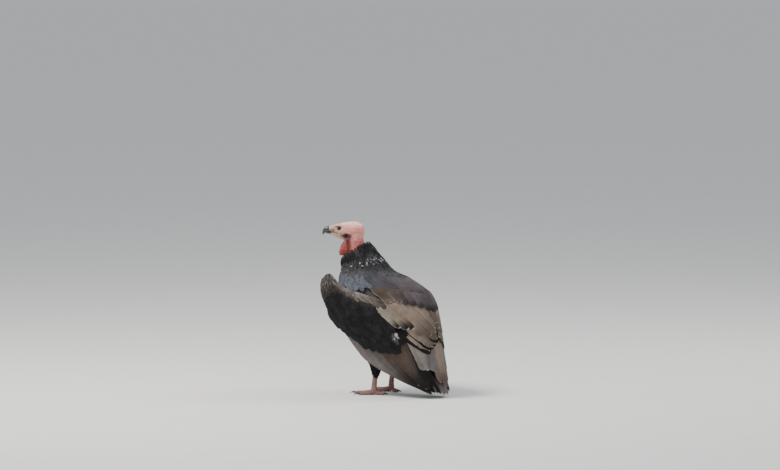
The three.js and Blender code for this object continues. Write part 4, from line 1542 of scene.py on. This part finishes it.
vanes = {
    "rows": 26,
    "columns": 9,
    "thick": 0.75,
    "shaft": 0.45,  # how far it stands out, its place across and its width
    "shaftAt": 0.22,
    "shaftWidth": 0.12,
    "wear": 0.07,
    "notches": 0.05,  # share of the edge's points that are nicked, and how deep
    "nick": 0.86,
    "curl": (-0.6, 1.2),
    "bakeMargin": 0.06,
}
vaneAlong = np.linspace(0, 1, vanes["rows"]) ** 0.9
vaneAcross = np.linspace(1, -1, vanes["columns"])  # the front edge first


def sideways(alongA, alongB, aside):
    # How far to go in a and in z for one millimetre aside
    aa, ab, bb = dot(alongA, alongA), dot(alongA, alongB), dot(alongB, alongB)
    pa, pb = dot(alongA, aside), dot(alongB, aside)
    spread = aa * bb - ab * ab
    return (bb * pa - ab * pb) / spread, (aa * pb - ab * pa) / spread


def layerFeathers(sheet, layer, seed):
    # Returns the feathers' points (feather, row, ring), their shares along the layer and the dice
    rng = np.random.default_rng(seed)
    count, rows = layer["count"], vanes["rows"]
    u = np.linspace(0, 1, count)
    t, s = vaneAlong, vaneAcross
    root, tip = through(layer["root"])(u), through(layer["tip"])(u)
    tip = tip + rng.normal(0, 1, (count, 2)) * layer.get("stray", (0.006, 3))
    width = mix(*layer["width"], u) * rng.uniform(0.95, 1.05, count)
    shape = layer["shape"]
    body = mix(shape["narrow"], 1, ease(t, -0.05, shape["widest"]))
    end = np.clip((t - shape["round"]) / (1 - shape["round"]), 0, 0.992)
    outline = body * (1 - end ** shape["power"]) ** (1 / shape["power"])
    middleA = mix(root[:, :1], tip[:, :1], t) + layer.get("bend", 0.0) * np.sin(math.pi * t)
    middleZ = mix(root[:, 1:], tip[:, 1:], t)
    place, alongA, alongB, _ = surfaceFrame(sheet, middleA.ravel(), middleZ.ravel())
    stem = unit(np.gradient(place.reshape(count, rows, 3), axis=1).reshape(-1, 3))
    aside = unit(alongA - dot(alongA, stem) * stem)
    goA, goB = (go.reshape(count, rows, 1) for go in sideways(alongA, alongB, aside))
    # The edges are worn and here and there nicked
    onEdge = np.abs(s) == 1
    wear = 1 - rng.uniform(0, vanes["wear"], (count, rows, 1)) * onEdge * ease(t, 0.3, 0.6)[:, None]
    nicked = rng.uniform(0, 1, (count, rows, 1)) > 1 - vanes["notches"]
    wear = wear * np.where(nicked & onEdge, vanes["nick"], 1)
    over = (width[:, None] * outline / 2)[..., None] * s * wear
    a, z = middleA[..., None] + goA * over, middleZ[..., None] + goB * over
    flat, _, _, out = surfaceFrame(sheet, a.ravel(), z.ravel())
    # The front edge lies on the feather before, and the vanes arch a little from the shaft
    lift = mix(*layer["lift"], u)[:, None, None] + rng.uniform(-0.25, 0.25, (count, 1, 1))
    tilt = layer["tilt"] * (1 + s) / 2
    arch = layer.get("arch", 1.1) * (1 - s**2)
    sink = layer.get("sink", 2.5) * (1 - ease(t, 0, 0.3))[:, None]
    curl = rng.uniform(*vanes["curl"], (count, 1, 1)) * ease(t, 0.6, 1)[:, None]
    level = lift + tilt + arch - sink + curl
    shaft = vanes["shaft"] * np.exp(-(((s - vanes["shaftAt"]) / vanes["shaftWidth"]) ** 2))
    thick = vanes["thick"] * (1 - s**6) * mix(1, 0.55, t)[:, None]
    faces = []
    for height in (level + shaft * (1 - t)[:, None], level - thick):
        points = flat + out * np.broadcast_to(height, a.shape).reshape(-1, 1)
        faces.append(points.reshape(count, rows, vanes["columns"], 3))
    top, under = faces
    return np.concatenate([top, under[:, :, -2:0:-1]], axis=2), u, rng


def bakeCells(mesh, corners, inVane, count):
    # A cell of the bake's map for each feather: upper faces in its left half, under faces in its right
    ring = 2 * vanes["columns"] - 2
    perFeather = vanes["rows"] * ring
    sizes = numbersOf(mesh.polygons, "loop_total", 1, int)
    faceOf = np.repeat(np.arange(len(sizes)), sizes)
    isUnder = np.zeros(len(sizes), bool)
    np.logical_or.at(isUnder, faceOf, corners % ring >= vanes["columns"])
    cells = math.ceil(math.sqrt(count))
    feather = corners // perFeather
    inCell = mix(vanes["bakeMargin"], 1 - vanes["bakeMargin"], inVane)
    x = (feather % cells + (inCell[:, 0] + isUnder[faceOf]) / 2) / cells
    y = (feather // cells + inCell[:, 1]) / cells
    setAttribute(mesh, "OFBake", "FLOAT2", np.column_stack([x, y]), "CORNER")


def featherMesh(name, layers, sheet, side, seed, material):
    # All the feathers of some layers as one mesh
    ring = 2 * vanes["columns"] - 2
    perFeather = vanes["rows"] * ring
    points, fields = [], {"plume": [], "fringe": [], "tip": [], "phase": []}
    for number, layer in enumerate(layers):
        laid, u, rng = layerFeathers(sheet, layer, seed + number)
        points.append(laid.reshape(len(u), perFeather, 3) * (side, 1, 1))
        look = {**layer["colours"](u), "phase": rng.uniform(0, 1, (len(u), 1))}
        for field, values in look.items():
            fields[field].append(values)
    points = np.concatenate(points)
    quads, ends = tubeFaces(vanes["rows"], ring)
    faces = []
    for first in range(0, len(points) * perFeather, perFeather):
        faces += [[first + corner for corner in face[::side]] for face in quads + ends]
    mesh = meshFrom(name, toMetres(points), faces, closed=False)
    mesh.flip_normals()  # the rings run the other way round than a closed tube's
    for field, values in fields.items():
        kind = "FLOAT" if field == "phase" else "FLOAT_COLOR"
        setAttribute(mesh, field, kind, np.repeat(np.concatenate(values), perFeather, axis=0))
    corners = numbersOf(mesh.loops, "vertex_index", 1, int)
    across = np.concatenate([vaneAcross, vaneAcross[-2:0:-1]])
    inVane = np.stack([np.tile((across + 1) / 2, vanes["rows"]), np.repeat(vaneAlong, ring)], -1)
    inVane = inVane[corners % perFeather]
    setAttribute(mesh, "vane", "FLOAT2", inVane, "CORNER")
    bakeCells(mesh, corners, inVane, len(points))
    sharpRim(mesh, ring, (0, vanes["columns"] - 1))
    mesh.materials.append(material)
    print(f"{name}: {len(points)} feathers")
    return addObject(name, mesh)


def palette(*rows):
    # Rows: share along the layer, tones of plume, fringe and tip, width of the fringe, share of the tip
    stands = [row[0] for row in rows]
    fields = {
        "plume": [rgba(tone(row[1])) for row in rows],
        "fringe": [rgba(tone(row[2]), row[4]) for row in rows],
        "tip": [rgba(tone(row[3]), row[5]) for row in rows],
    }

    def at(u):
        return {
            field: np.column_stack([np.interp(u, stands, column) for column in zip(*table)])
            for field, table in fields.items()
        }
    return at


quill = {"narrow": 0.5, "widest": 0.3, "round": 0.82, "power": 2.2}
pointed = {"narrow": 0.5, "widest": 0.25, "round": 0.62, "power": 1.7}
broadEnd = {"narrow": 0.45, "widest": 0.45, "round": 0.72, "power": 2.4}
blunt = {"narrow": 0.55, "widest": 0.3, "round": 0.9, "power": 3.0}

wingLayers = {
    "primaries": [{
        "count": 10,
        "root": [[0, 0.965, 278], [1, 0.68, 206]],
        "tip": [[0, 0.96, 14], [0.4, 0.72, 18], [1, 0.2, 24]],
        "width": (30, 34),
        "lift": (-14, -11.5), "tilt": 3.0, "bend": 0.028, "shape": pointed,
        "colours": palette(
            (0, "lilac", "buff", "black", 0.16, 1.0),
            (0.35, "lilac", "buff", "black", 0.14, 1.0),
            (0.6, "umber", "lilac", "black", 0.12, 1.0),
            (1, "soot", "umber", "black", 0.1, 1.0),
        ),
    }],
    "secondaries": [
        {
            "count": 8,
            "root": [[0, 0.76, 232], [1, 0.42, 262]],
            "tip": [[0, 0.68, 52], [0.6, 0.5, 40], [1, 0.36, 70]],
            "width": (40, 42),
            "lift": (-8.2, -7.6), "tilt": 2.4, "shape": quill,
            "colours": palette(
                (0, "umber", "grey", "black", 0.14, 0.9),
                (0.55, "umber", "lilac", "black", 0.12, 0.9),
                (0.8, "umber", "umber", "black", 0.08, 0.9),
                (1, "soot", "umber", "black", 0.08, 0.8),
            ),
        },
        {
            "count": 2,
            "root": [[0, 0.16, 262], [1, 0.05, 262]],
            "tip": [[0, 0.1, 60], [1, 0.0, 48]],
            "width": (38, 40),
            "lift": (-8, -7.4), "tilt": 1.6, "shape": quill,
            "colours": palette((0, "tan", "buff", "umber", 0.1, 0.8)),
        },
        {
            "count": 5,
            "root": [[0, 0.43, 262], [1, 0.14, 270]],
            "tip": [[0, 0.345, 108], [1, 0.17, 100]],
            "width": (32, 38),
            "lift": (-5.6, -5.2), "tilt": 2.0, "shape": blunt,
            "colours": palette(
                (0, "grey", "cream", "lilac", 0.1, 0.6),
                (1, "lilac", "buff", "lilac", 0.1, 0.5),
            ),
        },
    ],
    "tertials": [
        # Black feathers under the tan stack: a dark layer of painted shade that stands in for the shadow in
        # the gaps between the tertials
        {
            "count": 4,
            "root": [[0, 0.54, 256], [1, 0.46, 304]],
            "tip": [[0, 0.19, 167], [1, 0.015, 205]],
            "width": (32, 40),
            "lift": (-2.9, -1.5), "tilt": 2.2, "bend": 0.03, "shape": broadEnd,
            "colours": palette((0, "black", "soot", "black", 0.06, 0.6)),
        },
        {
            "count": 4,
            "root": [[0, 0.46, 258], [1, 0.4, 308]],
            "tip": [[0, 0.19, 178], [1, 0.02, 216]],
            "width": (32, 40),
            "lift": (-2.2, -0.8), "tilt": 2.4, "bend": 0.03, "shape": broadEnd,
            "colours": palette(
                (0, "tan", "cream", "umber", 0.1, 0.5),
                (1, "tan", "cream", "umber", 0.1, 0.8),
            ),
        },
        {
            "count": 3,
            "root": [[0, 0.63, 336], [1, 0.55, 352]],
            "tip": [[0, 0.465, 258], [1, 0.34, 246]],
            "width": (28, 42),
            "lift": (2.8, 2.4), "tilt": 1.6, "shape": broadEnd,
            "colours": palette(
                (0, "buff", "cream", "soot", 0.24, 1.0),
                (1, "tan", "cream", "soot", 0.2, 1.0),
            ),
        },
        {
            "count": 5,
            "root": [[0, 0.5, 340], [0.75, 0.3, 392], [1, 0.1, 400]],
            "tip": [[0, 0.22, 232], [0.4, 0.08, 226], [0.75, -0.06, 252], [1, -0.02, 268]],
            "width": (50, 50),
            "lift": (1.2, 1.8), "tilt": 2.2, "bend": 0.03, "shape": broadEnd,
            "colours": palette(
                (0, "tan", "buff", "umber", 0.1, 0.8),
                (1, "tan", "cream", "umber", 0.12, 0.7),
            ),
        },
    ],
    "scapulars": [
        {
            "count": 8,
            "root": [[0, 0.54, 404], [1, 0.05, 384]],
            "tip": [[0, 0.48, 350], [0.35, 0.35, 345], [0.7, 0.18, 320], [1, -0.03, 306]],
            "width": (28, 38),
            "lift": (4.8, 5.2), "tilt": 1.6, "sink": 8, "shape": broadEnd,
            "colours": palette(
                (0, "umber", "cream", "tan", 0.18, 0.5),
                (0.35, "umber", "cream", "violet", 0.14, 0.4),
                (0.5, "violet", "lilac", "soot", 0.12, 0.9),
                (1, "violet", "lilac", "soot", 0.12, 0.95),
            ),
        },
        {
            "count": 9,
            "root": [[0, 0.5, 438], [1, 0.03, 430]],
            "tip": [[0, 0.45, 390], [1, -0.01, 366]],
            "width": (26, 32),
            "lift": (3.8, 4.4), "tilt": 1.4, "sink": 9, "shape": broadEnd, "stray": (0.014, 8),
            "colours": palette(
                (0, "slate", "lilac", "violet", 0.12, 0.6),
                (1, "violet", "lilac", "soot", 0.12, 0.6),
            ),
        },
        {
            "count": 9,
            "root": [[0, 0.745, 380], [1, 0.575, 356]],
            "tip": [[0, 0.725, 346], [1, 0.53, 318]],
            "width": (15, 18),
            "lift": (2.6, 2.6), "tilt": 0.8, "arch": 0.6, "shape": broadEnd, "stray": (0.008, 4),
            "colours": palette(
                (0, "grey", "buff", "umber", 0.14, 0.4),
                (1, "umber", "grey", "umber", 0.14, 0.4),
            ),
        },
    ],
}
largeCoverts = {
    "count": 17,
    "root": [[0, 1.0, 306], [0.3, 0.95, 262], [0.6, 0.82, 236], [1, 0.58, 236]],
    "tip": [[0, 1.015, 244], [0.3, 0.93, 196], [0.6, 0.8, 168], [0.85, 0.64, 166], [1, 0.49, 196]],
    "width": (24, 30),
    "lift": (-2.0, 1.6), "tilt": 1.6, "shape": broadEnd, "stray": (0.008, 5),
    "colours": palette(
        (0, "soot", "umber", "black", 0.1, 0.2),
        (0.4, "black", "soot", "black", 0.1, 0.2),
        (1, "black", "slate", "black", 0.1, 0.2),
    ),
}
tailRows = {"rootY": 190, "rootZ": 206, "tipY": 262, "tipZ": 15, "rootHalf": 20, "tipHalf": 48, "bow": 7}
tailLayer = {
    "count": 12,
    "root": [[0, 0.95, 196], [1, -0.95, 196]],
    "tip": [[0, 0.94, 24], [0.5, 0, 14], [1, -0.94, 24]],
    "width": (20, 20),
    "lift": (-4.5, -4.5), "tilt": 1.2, "arch": 0.5, "shape": quill,
    "colours": palette((0, "soot", "umber", "lilac", 0.1, 0.9)),
}


def tailSheet(across, height):
    across, height = np.ravel(across), np.ravel(height)
    along = (tailRows["rootZ"] - height) / (tailRows["rootZ"] - tailRows["tipZ"])
    x = across * mix(tailRows["rootHalf"], tailRows["tipHalf"], along)
    y = mix(tailRows["rootY"], tailRows["tipY"], along) - tailRows["bow"] * across**2
    return np.column_stack([x, y, height])


flightPlumage, glossyPlumage = plumageMaterial("flight_plumage"), plumageMaterial("glossy_plumage")
for sideName, sign in sideSigns.items():
    for number, (name, layers) in enumerate(wingLayers.items()):
        seed = 100 * (number + 1) + (0 if sign > 0 else 50)
        piece = featherMesh(f"vanes_{sideName}_{name}", layers, wingFace, sign, seed, flightPlumage)
        finishPiece(piece, [f"wing_{sideName}_{name}"])
    name, seed = f"vanes_{sideName}_coverts", 900 + sign
    large = featherMesh(name, [largeCoverts], wingFace, sign, seed, glossyPlumage)
    finishPiece(large)
tailPiece = featherMesh("vanes_tail", [tailLayer], tailSheet, 1, 700, flightPlumage)
finishPiece(tailPiece, ["tail"])
print("flight feathers are laid")
